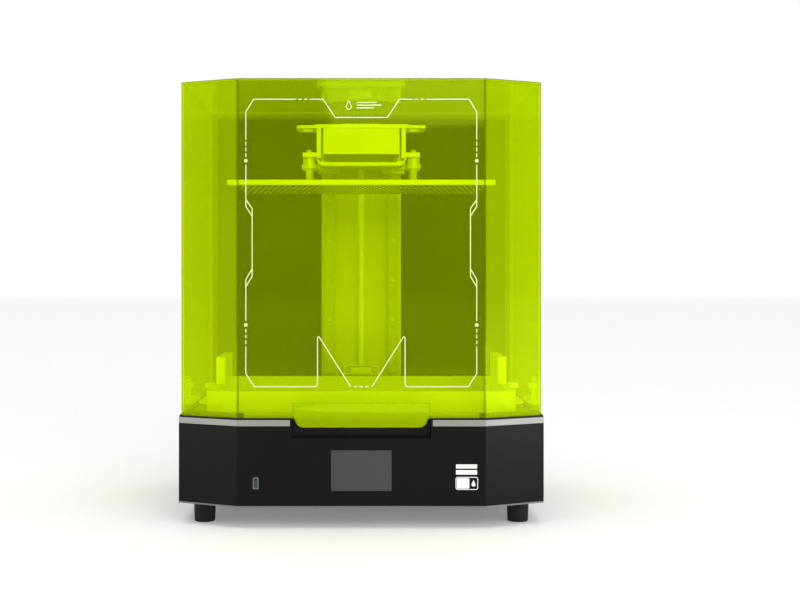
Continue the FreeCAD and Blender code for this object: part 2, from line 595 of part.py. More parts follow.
def column():
    """Extruded column, open at the back, with threaded holes for the rails."""
    inner = "column_half - column_side"
    right = [("column_half", "column_front"), ("column_half", "column_back"), (inner, "column_back"),
             (inner, "column_front + column_web")]
    extrusion = prism("XY", right + mirrored(right), "deck_top", "column_top - deck_top")
    holes = []
    for side in (-1, 1):
        for z in rail_screw_heights():
            holes.append(rod("rail_shank_radius", (f"{side} * rail_x", "column_front - 1", z),
                             "column_web + 2", "Y"))
        for z in block_screw_heights():
            holes.append(rod("rail_shank_radius", (f"{side} * block_screw_x", "column_front - 1", z),
                             "column_web + 2", "Y"))
    node("column", cut(extrusion, *holes))
    node("tower_plate", box(("-back_plate_half", "column_back", "deck_top"),
                            ("back_plate_half", "column_back + back_plate_thickness", "back_plate_top")))


def rails():
    face = "column_front - rail_depth"
    for name, side in (("rail_left", -1), ("rail_right", 1)):
        middle = f"{side} * rail_x"
        flute = [("", "rail_flute_low"), (" - rail_flute", "rail_flute_low + rail_flute"),
                 (" - rail_flute", "rail_flute_high - rail_flute"), ("", "rail_flute_high")]
        right = [("rail_half", "column_front")]
        right += [("rail_half" + inset, f"column_front - ({depth})") for inset, depth in flute]
        right += [("rail_half", face)]
        profile = [(f"{middle} + {x}", y) for x, y in right]
        profile += [(f"{middle} - ({x})", y) for x, y in reversed(right)]
        bar = prism("XY", profile, "rail_low", "rail_high - rail_low")
        holes = []
        for z in rail_screw_heights():
            holes.append(rod("rail_sink_radius", (middle, f"{face} - 1", z), "rail_sink_depth + 1", "Y"))
            holes.append(rod("rail_shank_radius", (middle, f"{face} + 1", z), "rail_depth + 1", "Y"))
        node(name, cut(bar, *holes))


def block_screw_heights():
    return ["(lower_block_low + lower_block_high) / 2", "(upper_block_low + column_top) / 2"]


def bearing_blocks():
    levels = (("lower", "lower_block_low", "lower_block_high"), ("upper", "upper_block_low", "column_top"))
    rings = []
    for (name, low, high), screw_z in zip(levels, block_screw_heights()):
        block = box(("-bearing_half", "bearing_front", low), ("bearing_half", "column_front", high))
        bore = rod("bearing_radius", ("0", "screw_y", f"{low} - 1"), f"{high} - {low} + 2")
        holes = []
        for side in (-1, 1):
            middle = f"{side} * block_screw_x"
            holes.append(rod("rail_sink_radius", (middle, "bearing_front - 1", screw_z),
                             "rail_sink_depth + 1", "Y"))
            holes.append(rod("rail_shank_radius", (middle, "bearing_front + 1", screw_z),
                             "column_front - bearing_front", "Y"))
        node("bearing_block_" + name, cut(block, bore, *holes))
        ring_low = f"({low} + {high} - bearing_height) / 2"
        ring = rod("bearing_radius", ("0", "screw_y", ring_low), "bearing_height")
        rings.append(cut(ring, rod("journal_radius + running_gap", ("0", "screw_y", f"{ring_low} - 1"),
                                   "bearing_height + 2")))
    node("screw_bearings", group(*rings))


def lead_screw():
    thread = rod("screw_radius", ("0", "screw_y", "thread_low"), "thread_high - thread_low")
    journal = rod("journal_radius", ("0", "screw_y", "journal_low"), "column_top - journal_low")
    node("lead_screw", fuse(thread, journal))
    sleeve = rod("coupler_radius", ("0", "screw_y", "coupler_low"), "coupler_high - coupler_low")
    bore = rod("journal_radius", ("0", "screw_y", "journal_low"), "coupler_high - journal_low + 1")
    shaft_low = "(body_top - motor_cap + 1)"
    shaft = rod("motor_shaft_radius", ("0", "screw_y", shaft_low), f"journal_low - 1 - {shaft_low}")
    node("shaft_coupler", fuse(cut(sleeve, bore), shaft))


# ---------------------------------------------------------------- carriage and build plate

def carriage():
    """Carriage plate with the nut's boss behind it, the two rail blocks and the nut."""
    slab = box(("-carriage_half", "carriage_front", "carriage_low"),
               ("carriage_half", "carriage_back", "carriage_high"))
    boss_low = "nut_low + nut_flange"
    boss = box(("-nut_boss_half", "carriage_back - 1", boss_low),
               ("nut_boss_half", "nut_boss_back", "carriage_high"))
    bore = rod("nut_radius", ("0", "screw_y", f"{boss_low} - 1"), f"carriage_high - ({boss_low}) + 2")
    node("carriage_plate", cut(fuse(slab, boss), bore))
    flange = rod("nut_flange_radius", ("0", "screw_y", "nut_low"), "nut_flange")
    barrel = rod("nut_radius", ("0", "screw_y", "nut_low"), "nut_top - nut_low")
    thread = rod("screw_radius + running_gap", ("0", "screw_y", "nut_low - 1"), "nut_top - nut_low + 2")
    node("lead_nut", cut(fuse(flange, barrel), thread))
    for name, side in (("rail_block_left", -1), ("rail_block_right", 1)):
        middle = f"{side} * rail_x"
        slot_half = "(rail_half + rail_slot_gap)"
        slot_floor = "column_front - rail_depth - rail_slot_gap"
        back = "column_front - block_lift"
        profile = [(f"{middle} - block_half", "carriage_back"), (f"{middle} + block_half", "carriage_back"),
                   (f"{middle} + block_half", back), (f"{middle} + {slot_half}", back),
                   (f"{middle} + {slot_half}", slot_floor), (f"{middle} - {slot_half}", slot_floor),
                   (f"{middle} - {slot_half}", back), (f"{middle} - block_half", back)]
        node(name, prism("XY", profile, "block_low", "carriage_high - block_low"))


def arm():
    """Arm from the carriage to the plate's bracket, hollow from below."""
    bar = box(("-arm_half", "arm_front", "arm_low"), ("arm_half", "carriage_front", "arm_top"))
    hollow = box(("-arm_half + arm_wall", "arm_front + arm_wall", "arm_low - 1"),
                 ("arm_half - arm_wall", "carriage_front - arm_wall", "arm_top - arm_wall"))
    node("arm", cut(bar, hollow))


def post_places():
    return [(x, y) for x in ("-post_x", "post_x") for y in ("post_front", "post_back")]


def bracket():
    """Channel round the arm's end, with a flange each side for the levelling posts."""
    inner = "bracket_half - bracket_side"
    right = [(inner, "bracket_floor"), (inner, "arm_top"), ("bracket_half", "arm_top"),
             ("bracket_half", "flange_high"), ("flange_half", "flange_high"), ("flange_half", "flange_low"),
             ("bracket_half", "flange_low"), ("bracket_half", "bracket_low")]
    channel = prism("XZ", right + mirrored(right), "bracket_front", "bracket_back - bracket_front")

    def corner_at(level):
        height = number(level)
        half = number("bracket_half") + 0.1
        return lambda first, last: (abs(first.z - height) < 1e-3 and abs(last.z - height) < 1e-3
                                    and abs(first.x - last.x) < 1e-3 and abs(first.x) < half)

    rounded(channel, "bracket_outer_round", corner_at("bracket_low"))
    rounded(channel, "bracket_inner_round", corner_at("bracket_floor"))
    holes = [rod("bolt_radius", (x, y, "flange_low - 1"), "flange_high - flange_low + 2")
             for x, y in post_places()]
    node("plate_bracket", cut(channel, *holes))


def bracket_cap():
    """Cap over the bracket, with a slotted grip wing each side."""
    middle = box(("-cap_half", "bracket_front", "arm_top"), ("cap_half", "bracket_back", "cap_top"))
    wings = plate(("-wing_half", "bracket_front", "arm_top"), ("wing_half", "bracket_back", "wing_top"),
                  "wing_round")
    slots = []
    for low, high in (("wing_slot_low", "wing_slot_high"), ("-wing_slot_high", "-wing_slot_low")):
        slots.append(plate((low, "bracket_front + wing_slot_margin", "arm_top - 1"),
                           (high, "bracket_back - wing_slot_margin", "cap_top + 1"), "wing_slot_round"))
    node("bracket_cap", cut(fuse(middle, wings), *slots))


def standoffs():
    """Four stepped posts from the flanges to the build plate, and the bolts that level it."""
    posts = []
    bolts = []
    steps = (("post_radius", "plate_high", "wide_collar_low"),
             ("wide_collar_radius", "wide_collar_low", "collar_low"),
             ("collar_radius", "collar_low", "collar_high"), ("post_radius", "collar_high", "flange_low"))
    for x, y in post_places():
        stack = fuse(*[rod(radius, (x, y, low), f"{high} - {low}") for radius, low, high in steps])
        posts.append(cut(stack, rod("bolt_radius", (x, y, "bolt_low"), "flange_low - bolt_low + 1")))
        head = cut(rod("bolt_head_radius", (x, y, "flange_high"), "bolt_head_height"),
                   rod("bolt_radius", (x, y, "flange_high + bolt_socket_floor"), "bolt_head_height"))
        bolts.append(fuse(head, rod("bolt_radius", (x, y, "bolt_low"), "flange_high - bolt_low + 0.5")))
    node("plate_standoffs", group(*posts))
    node("levelling_bolts", group(*bolts))


def build_plate():
    node("build_plate", plate(("-plate_half", "plate_front", "plate_low"),
                              ("plate_half", "plate_back", "plate_high"), "plate_round"))


# ---------------------------------------------------------------- vat

def vat_screw_places():
    """Places of the screws between the vat and its film frame, all round the rim."""
    x_edge = "(vat_half - vat_screw_inset)"
    front, back = "vat_front + vat_screw_inset", "vat_back - vat_screw_inset"
    places = []
    for step in (-0.75, -0.25, 0.25, 0.75):
        places += [(f"{step} * {x_edge}", front), (f"{step} * {x_edge}", back)]
    for step in (0.15, 0.5, 0.85):
        y = f"(1 - {step}) * ({front}) + {step} * ({back})"
        places += [(x_edge, y), (f"-{x_edge}", y)]
    return places


def vat():
    """Tray with a clamping ear on each side, over the frame that holds its film."""
    outer = plate(("-vat_half", "vat_front", "vat_low"), ("vat_half", "vat_back", "vat_top"), "vat_round")
    inner_half = "(vat_half - vat_wall)"
    hollow = plate((f"-{inner_half}", "vat_front + vat_wall", "vat_low - 1"),
                   (inner_half, "vat_back - vat_wall", "vat_top + 1"), "vat_round - vat_wall")
    ears = []
    holes = []
    root_x = "vat_half - ear_overlap"
    right_ear = [(root_x, "clamp_y - ear_root_half"), ("ear_half_x", "clamp_y - ear_tip_half"),
                 ("ear_half_x", "clamp_y + ear_tip_half"), (root_x, "clamp_y + ear_root_half")]
    left_ear = [(f"-({x})", y) for x, y in reversed(right_ear)]
    beyond_wall = number("vat_half + 1")
    for (x, y), ear in zip(clamp_places(), (left_ear, right_ear)):
        tab = prism("XY", ear, "vat_low", "ear_top - vat_low")
        ears.append(rounded(tab, "ear_round",
                            lambda first, last: upright(first, last) and abs(first.x) > beyond_wall))
        holes.append(rod("clamp_radius + running_gap", (x, y, "vat_low - 1"), "ear_top - vat_low + 2"))
    holes += [rod("vat_screw_radius", (x, y, "vat_low - 1"), "vat_screw_top - vat_low + 1")
              for x, y in vat_screw_places()]
    node("vat_tray", cut(fuse(cut(outer, hollow), *ears), *holes))
    rim = plate(("-vat_half", "vat_front", "deck_top"), ("vat_half", "vat_back", "vat_low"), "vat_round")
    opening = box(("-film_half_x", "film_front", "deck_top - 1"), ("film_half_x", "film_back", "vat_low + 1"))
    rim_holes = [rod("vat_screw_radius", (x, y, "deck_top - 1"), "vat_low - deck_top + 2")
                 for x, y in vat_screw_places()]
    node("film_frame", cut(rim, opening, *rim_holes))
    node("vat_film", box(("-film_half_x", "film_front", "deck_top"),
                         ("film_half_x", "film_back", "deck_top + film_thickness")))


def vat_handles():
    """Grip block on each side wall, standing on two small feet."""
    grips = []
    top = number("handle_top - handle_low")
    sides = (("-handle_high_x", "-handle_low_x", "-handle_high_x", "-handle_foot_x"),
             ("handle_low_x", "handle_high_x", "handle_foot_x", "handle_high_x"))
    for low, high, foot_low, foot_high in sides:
        grip = plate((low, "handle_front", "handle_low"), (high, "handle_back", "handle_top"), "handle_round")
        rounded(grip, "handle_edge",
                lambda first, last: abs(first.z - top) < 1e-3 and abs(last.z - top) < 1e-3)
        near = box((foot_low, "handle_front + handle_foot_inset", "vat_top"),
                   (foot_high, "handle_front + handle_foot_inset + handle_foot_length", "handle_low + 1"))
        far = box((foot_low, "handle_back - handle_foot_inset - handle_foot_length", "vat_top"),
                  (foot_high, "handle_back - handle_foot_inset", "handle_low + 1"))
        grips.append(fuse(grip, near, far))
    node("vat_handles", group(*grips))


FLUTES = 12


def clamp_screws():
    """Tall thumb screws that hold the vat's ears down on the deck."""
    for name, (x, y) in zip(("vat_screw_left", "vat_screw_right"), clamp_places()):
        shank = rod("clamp_radius", (x, y, "clamp_low"), "knob_low - clamp_low + 1")
        shoulder = rod("clamp_shoulder_radius", (x, y, "clamp_shoulder_low"),
                       "clamp_shoulder_top - clamp_shoulder_low")
        knob = rod("knob_radius", (x, y, "knob_low"), "knob_top - knob_low")
        flutes = []
        for step in range(FLUTES):
            reach, angle = "(knob_radius + flute_outset)", f"{step} * 360 deg / {FLUTES}"
            start = (f"{x} + {reach} * cos({angle})", f"{y} + {reach} * sin({angle})", "knob_low - 1")
            flutes.append(rod("flute_radius", start, "knob_top - knob_low + 2"))
        node(name, fuse(shank, shoulder, cut(knob, *flutes)))


# ---------------------------------------------------------------- hood

HOOD_BACK = "hood_inset + hood_wall"


def hood_walls():
    """Flat acrylic panels, glued edge to edge: front, chamfers and sides."""
    low, height = "seal_top", "hood_top - hood_wall - seal_top"
    outer, inner = front_corner("hood_inset"), front_corner(HOOD_BACK)
    node("hood_front", prism("XY", [outer, inner] + mirrored([outer, inner]), low, height))
    shoulder = side_corner("hood_inset")
    step_x = f"{shoulder[0]} - hood_wall / sin({CHAMFER})"
    chamfer = [outer, shoulder, (step_x, shoulder[1]), inner]
    panels = [prism("XY", points, low, height) for points in (chamfer, mirrored(chamfer))]
    node("hood_chamfers", group(*panels))
    face = "hood_top - hood_wall"
    throat = "hood_wall * sqrt(2)"
    side = [(shoulder[1], low), ("hood_rear", low), ("hood_rear", "hood_top - hood_bevel"),
            ("hood_rear - hood_wall", "hood_top - hood_bevel"),
            ("hood_rear - hood_wall", f"hood_top - hood_bevel + hood_wall - {throat}"),
            (f"hood_rear - hood_bevel + hood_wall - {throat}", face), (shoulder[1], face)]
    starts = ("half_width - hood_inset - hood_wall", "-half_width + hood_inset")
    node("hood_sides", group(*[prism("YZ", side, start, "hood_wall") for start in starts]))


def hood_back_and_top():
    """Rear panel with the sloping strip above it, and the top panel."""
    throat = "hood_wall * sqrt(2)"
    shoulder = "hood_top - hood_bevel"
    half = "half_width - hood_inset"
    rear = box((f"-({half} - hood_wall)", "hood_rear - hood_wall", "seal_top"),
               (f"{half} - hood_wall", "hood_rear", shoulder))
    slope = [("hood_rear - hood_bevel", "hood_top"), ("hood_rear", shoulder),
             ("hood_rear - hood_wall", shoulder),
             ("hood_rear - hood_wall", f"{shoulder} + hood_wall - {throat}"),
             (f"hood_rear - hood_bevel + hood_wall - {throat}", "hood_top - hood_wall"),
             ("hood_rear - hood_bevel", "hood_top - hood_wall")]
    strip = prism("YZ", slope, f"-({half})", f"2 * ({half})")
    node("hood_rear", group(rear, strip))
    node("hood_top", prism("XY", outline("hood_inset", "hood_rear - hood_bevel"), "hood_top - hood_wall",
                           "hood_wall"))


def hood_lip():
    """Flared pull lip over the finger pocket, narrower at its rounded foot."""
    face = "-half_depth + hood_inset"
    section = [(face, "lip_top"), ("-half_depth", "lip_bend"), ("-half_depth", "lip_low"),
               ("-half_depth + lip_wall", "lip_low"), ("-half_depth + lip_wall", "seal_top"),
               (face, "seal_top")]
    bar = prism("YZ", section, "-lip_half_top", "2 * lip_half_top")
    front_view = [("-lip_half_top", "lip_top + 1"), ("-lip_half_top", "lip_bend"),
                  ("-lip_half_low", "lip_low"), ("lip_half_low", "lip_low"), ("lip_half_top", "lip_bend"),
                  ("lip_half_top", "lip_top + 1")]
    mask = prism("XZ", front_view, "-half_depth - 1", "lip_wall + 4")
    foot = number("lip_low")
    rounded(mask, "lip_round", lambda first, last: (abs(first.z - foot) < 1e-3 and abs(last.z - foot) < 1e-3
                                                    and abs(first.x - last.x) < 1e-3))
    node("hood_lip", common(bar, mask))


# ---------------------------------------------------------------- fixed screws

def fixed_screws():
    """Rail, bearing-block, film-frame and case screws, as separate solids."""
    screws = []
    rail_face = "column_front - rail_depth + rail_sink_depth"
    block_face = "bearing_front + rail_sink_depth"
    for side in (-1, 1):
        for z in rail_screw_heights():
            screws.append(cap_screw((f"{side} * rail_x", rail_face, z)))
        for z in block_screw_heights():
            screws.append(cap_screw((f"{side} * block_screw_x", block_face, z)))
    for x, y in vat_screw_places():
        screws.append(rod("vat_screw_radius", (x, y, "deck_top + 0.5"), "vat_screw_top - deck_top - 0.5"))
    for x in ("-case_screw_outer", "-case_screw_inner", "case_screw_inner", "case_screw_outer"):
        for z in ("case_screw_low", "case_screw_high"):
            screws.append(rod("case_head_radius", (x, "rear_face", z), "case_head_height", "Y"))
    node("fixed_screws", group(*screws))


def cap_screw(seat):
    """Socket-head screw with its head's underside at a seat, driven along +Y."""
    x, y, z = seat
    head = rod("rail_head_radius", (x, f"{y} - rail_head_height", z), "rail_head_height", "Y")
    socket = rod("rail_shank_radius", (x, f"{y} - rail_head_height - 1", z), "rail_socket_depth + 1", "Y")
    shank = rod("rail_shank_radius", (x, f"{y} - 0.5", z), "rail_screw_length - rail_head_height", "Y")
    return fuse(cut(head, socket), shank)


# ---------------------------------------------------------------- build, check and write

def check():
    """Stops if any object failed or any node isn't a valid solid."""
    for item in doc.Objects:
        if "Invalid" in item.State or "Error" in item.State:
            raise RuntimeError(f"{item.Name} ({item.Label}) failed: {item.State}")
    for item in NODES:
        if item.Shape.isNull() or not item.Shape.isValid() or not item.Shape.Solids:
            raise RuntimeError(f"{item.Label} is not a valid solid")


def main():
    fill_sheet()
    for build in (bottom_plate, front_fascia, case_wrap, feet, finger_pocket, deck_plate, deck_seal,
                  hood_guides, front_controls, power_inlet, power_rocker, fans, lamp, electronics, z_motor,
                  column, rails, bearing_blocks, lead_screw, carriage, arm, bracket, bracket_cap, standoffs,
                  build_plate, vat, vat_handles, clamp_screws, hood_walls, hood_back_and_top, hood_lip,
                  fixed_screws):
        build()
    doc.recompute()
    check()
    os.makedirs("parts", exist_ok=True)
    for item in NODES:
        item.Shape.exportStep(f"parts/{item.Label}.step")
    print(len(NODES), "nodes written")


main()
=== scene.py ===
"""Resin printer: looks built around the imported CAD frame. Metres, +Z up, the front faces -Y."""
import json
import math

import bmesh
import bpy
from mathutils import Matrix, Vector


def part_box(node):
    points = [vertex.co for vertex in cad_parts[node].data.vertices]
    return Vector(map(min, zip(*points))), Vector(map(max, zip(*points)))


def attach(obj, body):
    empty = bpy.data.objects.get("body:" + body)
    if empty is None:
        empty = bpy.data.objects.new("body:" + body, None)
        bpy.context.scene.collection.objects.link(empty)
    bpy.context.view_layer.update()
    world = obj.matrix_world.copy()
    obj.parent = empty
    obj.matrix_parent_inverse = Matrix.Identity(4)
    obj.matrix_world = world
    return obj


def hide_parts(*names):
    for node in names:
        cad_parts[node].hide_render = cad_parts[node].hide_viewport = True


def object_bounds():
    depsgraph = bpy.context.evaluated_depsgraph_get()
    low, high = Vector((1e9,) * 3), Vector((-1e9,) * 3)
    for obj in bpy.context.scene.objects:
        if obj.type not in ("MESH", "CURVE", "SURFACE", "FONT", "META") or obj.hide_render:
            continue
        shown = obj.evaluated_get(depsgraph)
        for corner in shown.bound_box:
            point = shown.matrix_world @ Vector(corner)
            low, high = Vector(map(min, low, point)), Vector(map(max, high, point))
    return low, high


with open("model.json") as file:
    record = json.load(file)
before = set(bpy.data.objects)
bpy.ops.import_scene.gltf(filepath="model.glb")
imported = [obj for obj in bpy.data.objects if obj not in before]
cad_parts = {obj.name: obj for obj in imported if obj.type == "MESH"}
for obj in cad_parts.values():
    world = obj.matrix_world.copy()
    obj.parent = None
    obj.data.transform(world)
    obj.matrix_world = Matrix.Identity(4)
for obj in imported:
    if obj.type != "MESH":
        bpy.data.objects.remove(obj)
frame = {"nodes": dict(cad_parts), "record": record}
cad_low, cad_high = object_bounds()
MM = 0.001


# ---------------------------------------------------------------- camera, light and stage

def make_camera():
    """Straight-on view of the front, a little over half way up, with verticals kept parallel."""
    distance, height = 1.7, 0.3277
    data = bpy.data.cameras.new("camera")
    data.sensor_width = 36
    data.lens = 60.1
    data.shift_x = 0.0484
    data.shift_y = -0.0352
    camera = bpy.data.objects.new("camera", data)
    camera.location = (0, cad_low.y - distance, height)
    camera.rotation_euler = (math.radians(90), 0, 0)
    bpy.context.scene.collection.objects.link(camera)
    bpy.context.scene.camera = camera


def make_world():
    """A surround that shows pure white but lights the object more softly."""
    shown_strength, lighting_strength = 1.0, 0.45
    world = bpy.data.worlds.new("studio")
    bpy.context.scene.world = world
    world.use_nodes = True
    tree = world.node_tree
    shown = tree.nodes["Background"]
    lighting = tree.nodes.new("ShaderNodeBackground")
    for background, strength in ((shown, shown_strength), (lighting, lighting_strength)):
        background.inputs["Color"].default_value = (1, 1, 1, 1)
        background.inputs["Strength"].default_value = strength
    ray = tree.nodes.new("ShaderNodeLightPath")
    mix = tree.nodes.new("ShaderNodeMixShader")
    tree.links.new(ray.outputs["Is Camera Ray"], mix.inputs["Fac"])
    tree.links.new(lighting.outputs["Background"], mix.inputs[1])
    tree.links.new(shown.outputs["Background"], mix.inputs[2])
    tree.links.new(mix.outputs["Shader"], tree.nodes["World Output"].inputs["Surface"])


def softbox(name, place, size, power, colour=(1, 1, 1), aim=(0, 0, 0.3)):
    """A rectangular light of some watts at a place, turned towards aim."""
    data = bpy.data.lights.new(name, "AREA")
    data.shape = "RECTANGLE"
    data.size, data.size_y = size
    data.energy = power
    data.color = colour
    light = bpy.data.objects.new(name, data)
    light.location = place
    light.rotation_euler = (Vector(aim) - Vector(place)).to_track_quat("-Z", "Y").to_euler()
    bpy.context.scene.collection.objects.link(light)


def make_lights():
    """A key softbox, a low softbox on each side for the chamfers, and a wide sun overhead."""
    softbox("key", place=(0.7, -2.9, 1.5), size=(1.8, 1.4), power=30)
    softbox("side_right", place=(1.5, -1.05, 0.08), size=(0.9, 0.14), power=5, colour=(0.93, 0.98, 1.0),
            aim=(0.2, -0.17, 0.08))
    softbox("side_left", place=(-1.5, -1.05, 0.08), size=(0.9, 0.14), power=2, aim=(-0.2, -0.17, 0.08))
    data = bpy.data.lights.new("overhead", "SUN")
    data.energy = 1.25
    data.angle = math.radians(70)
    overhead = bpy.data.objects.new("overhead", data)
    overhead.rotation_euler = (math.radians(8), 0, 0)
    bpy.context.scene.collection.objects.link(overhead)


def make_floor():
    """A wide pale floor that glows slightly, so that it stays near white round the shadow."""
    bpy.ops.mesh.primitive_plane_add(size=30, location=(0, 0, cad_low.z))
    floor = bpy.context.object
    floor.name = "floor"
    white = paint("floor_white", (0.93, 0.93, 0.93), 0.9, variation=0.01, specular=0.1)
    shader = next(item for item in white.node_tree.nodes if item.type == "BSDF_PRINCIPLED")
    shader.inputs["Emission Color"].default_value = (1, 1, 1, 1)
    shader.inputs["Emission Strength"].default_value = 0.17
    floor.data.materials.append(white)


# ---------------------------------------------------------------- materials

NOISE_LOW, NOISE_HIGH = 0.3, 0.7  # the range that nearly all of a noise field lies in


def new_material(name):
    material = bpy.data.materials.new(name)
    material.use_nodes = True
    material.node_tree.nodes.clear()
    return material, material.node_tree


def noise(tree, scale, stretch=(1, 1, 1), detail=3):
    """A noise field in the piece's own space, in cycles per metre."""
    place = tree.nodes.new("ShaderNodeTexCoord")
    mapping = tree.nodes.new("ShaderNodeMapping")
    mapping.inputs["Scale"].default_value = stretch
    field = tree.nodes.new("ShaderNodeTexNoise")
    field.inputs["Scale"].default_value = scale
    field.inputs["Detail"].default_value = detail
    tree.links.new(place.outputs["Object"], mapping.inputs["Vector"])
    tree.links.new(mapping.outputs["Vector"], field.inputs["Vector"])
    return field.outputs["Fac"]


def spread(tree, source, low, high):
    """Maps a noise field's middle range onto low to high."""
    node = tree.nodes.new("ShaderNodeMapRange")
    node.inputs["From Min"].default_value = NOISE_LOW
    node.inputs["From Max"].default_value = NOISE_HIGH
    node.inputs["To Min"].default_value = low
    node.inputs["To Max"].default_value = high
    tree.links.new(source, node.inputs["Value"])
    return node.outputs["Result"]


def shaded(tree, source, colour, variation):
    """The colour, a little darker and lighter where the field is low and high."""
    ramp = tree.nodes.new("ShaderNodeValToRGB")
    ramp.color_ramp.elements[0].position = NOISE_LOW
    ramp.color_ramp.elements[1].position = NOISE_HIGH
    for element, factor in zip(ramp.color_ramp.elements, (1 - variation, 1 + variation)):
        element.color = tuple(min(1, channel * factor) for channel in colour) + (1,)
    tree.links.new(source, ramp.inputs["Fac"])
    return ramp.outputs["Color"]


def bump(tree, source, strength, distance=0.0003):
    node = tree.nodes.new("ShaderNodeBump")
    node.inputs["Strength"].default_value = strength
    node.inputs["Distance"].default_value = distance
    tree.links.new(source, node.inputs["Height"])
    return node.outputs["Normal"]


def paint(name, colour, roughness, metallic=0.0, variation=0.06, patch=9.0, grain=0.0, grain_scale=1400.0,
          stretch=(1, 1, 1), rough_spread=0.08, coat=0.0, specular=0.5):
    """A solid finish: broad colour patches, uneven roughness and an optional fine grain."""
    material, tree = new_material(name)
    shader = tree.nodes.new("ShaderNodeBsdfPrincipled")
    output = tree.nodes.new("ShaderNodeOutputMaterial")
    tree.links.new(shader.outputs["BSDF"], output.inputs["Surface"])
    shader.inputs["Metallic"].default_value = metallic
    shader.inputs["Coat Weight"].default_value = coat
    shader.inputs["Specular IOR Level"].default_value = specular
    broad = noise(tree, patch, stretch)
    tree.links.new(shaded(tree, broad, colour, variation), shader.inputs["Base Color"])
    fine = noise(tree, grain_scale, stretch, detail=2)
    low, high = max(0.02, roughness - rough_spread), min(1, roughness + rough_spread)
    tree.links.new(spread(tree, fine, low, high), shader.inputs["Roughness"])
    if grain:
        tree.links.new(bump(tree, fine, grain), shader.inputs["Normal"])
    return material


def acrylic(name, haze, colour=(0.76, 1.0, 0.0), tint=(0.93, 1.0, 0.05), polish=0.04):
    """Tinted clear sheet: light passes straight through, a slight haze glows, and the skin shines.

    The skin's shine rises from 2% face-on to all of the light at a grazing angle. It comes from the facing
    angle and not from a Fresnel node, which would turn a panel seen from inside into a mirror.
    """
    material, tree = new_material(name)
    clear = tree.nodes.new("ShaderNodeBsdfTransparent")
    clear.inputs["Color"].default_value = tint + (1,)
    body = tree.nodes.new("ShaderNodeBsdfPrincipled")
    body.inputs["Base Color"].default_value = colour + (1,)
    body.inputs["Roughness"].default_value = 0.35
    body.inputs["Specular IOR Level"].default_value = 0.0
    shine = tree.nodes.new("ShaderNodeBsdfGlossy")
    shine.inputs["Color"].default_value = (0.8, 1.0, 0.05, 1)
    shine.inputs["Roughness"].default_value = polish
    inner = tree.nodes.new("ShaderNodeMixShader")
    outer = tree.nodes.new("ShaderNodeMixShader")
    facing = tree.nodes.new("ShaderNodeLayerWeight")
    facing.inputs["Blend"].default_value = 0.5
    steep = tree.nodes.new("ShaderNodeMath")
    steep.operation = "POWER"
    steep.inputs[1].default_value = 5
    tree.links.new(facing.outputs["Facing"], steep.inputs[0])
    gloss = tree.nodes.new("ShaderNodeMapRange")
    gloss.inputs["To Min"].default_value = 0.02
    gloss.inputs["To Max"].default_value = 1.0
    tree.links.new(steep.outputs["Value"], gloss.inputs["Value"])
    cloud = spread(tree, noise(tree, 5.0), haze * 0.94, haze * 1.06)
    tree.links.new(cloud, inner.inputs["Fac"])
    tree.links.new(clear.outputs["BSDF"], inner.inputs[1])
    tree.links.new(body.outputs["BSDF"], inner.inputs[2])
    tree.links.new(gloss.outputs["Result"], outer.inputs["Fac"])
    tree.links.new(inner.outputs["Shader"], outer.inputs[1])
    tree.links.new(shine.outputs["BSDF"], outer.inputs[2])
    output = tree.nodes.new("ShaderNodeOutputMaterial")
    tree.links.new(outer.outputs["Shader"], output.inputs["Surface"])
    return material


def look(colour, roughness, metallic=0.0, variation=0.06, **rest):
    """One row of PAINTS, as keyword arguments for paint()."""
    return dict(rest, colour=colour, roughness=roughness, metallic=metallic, variation=variation)


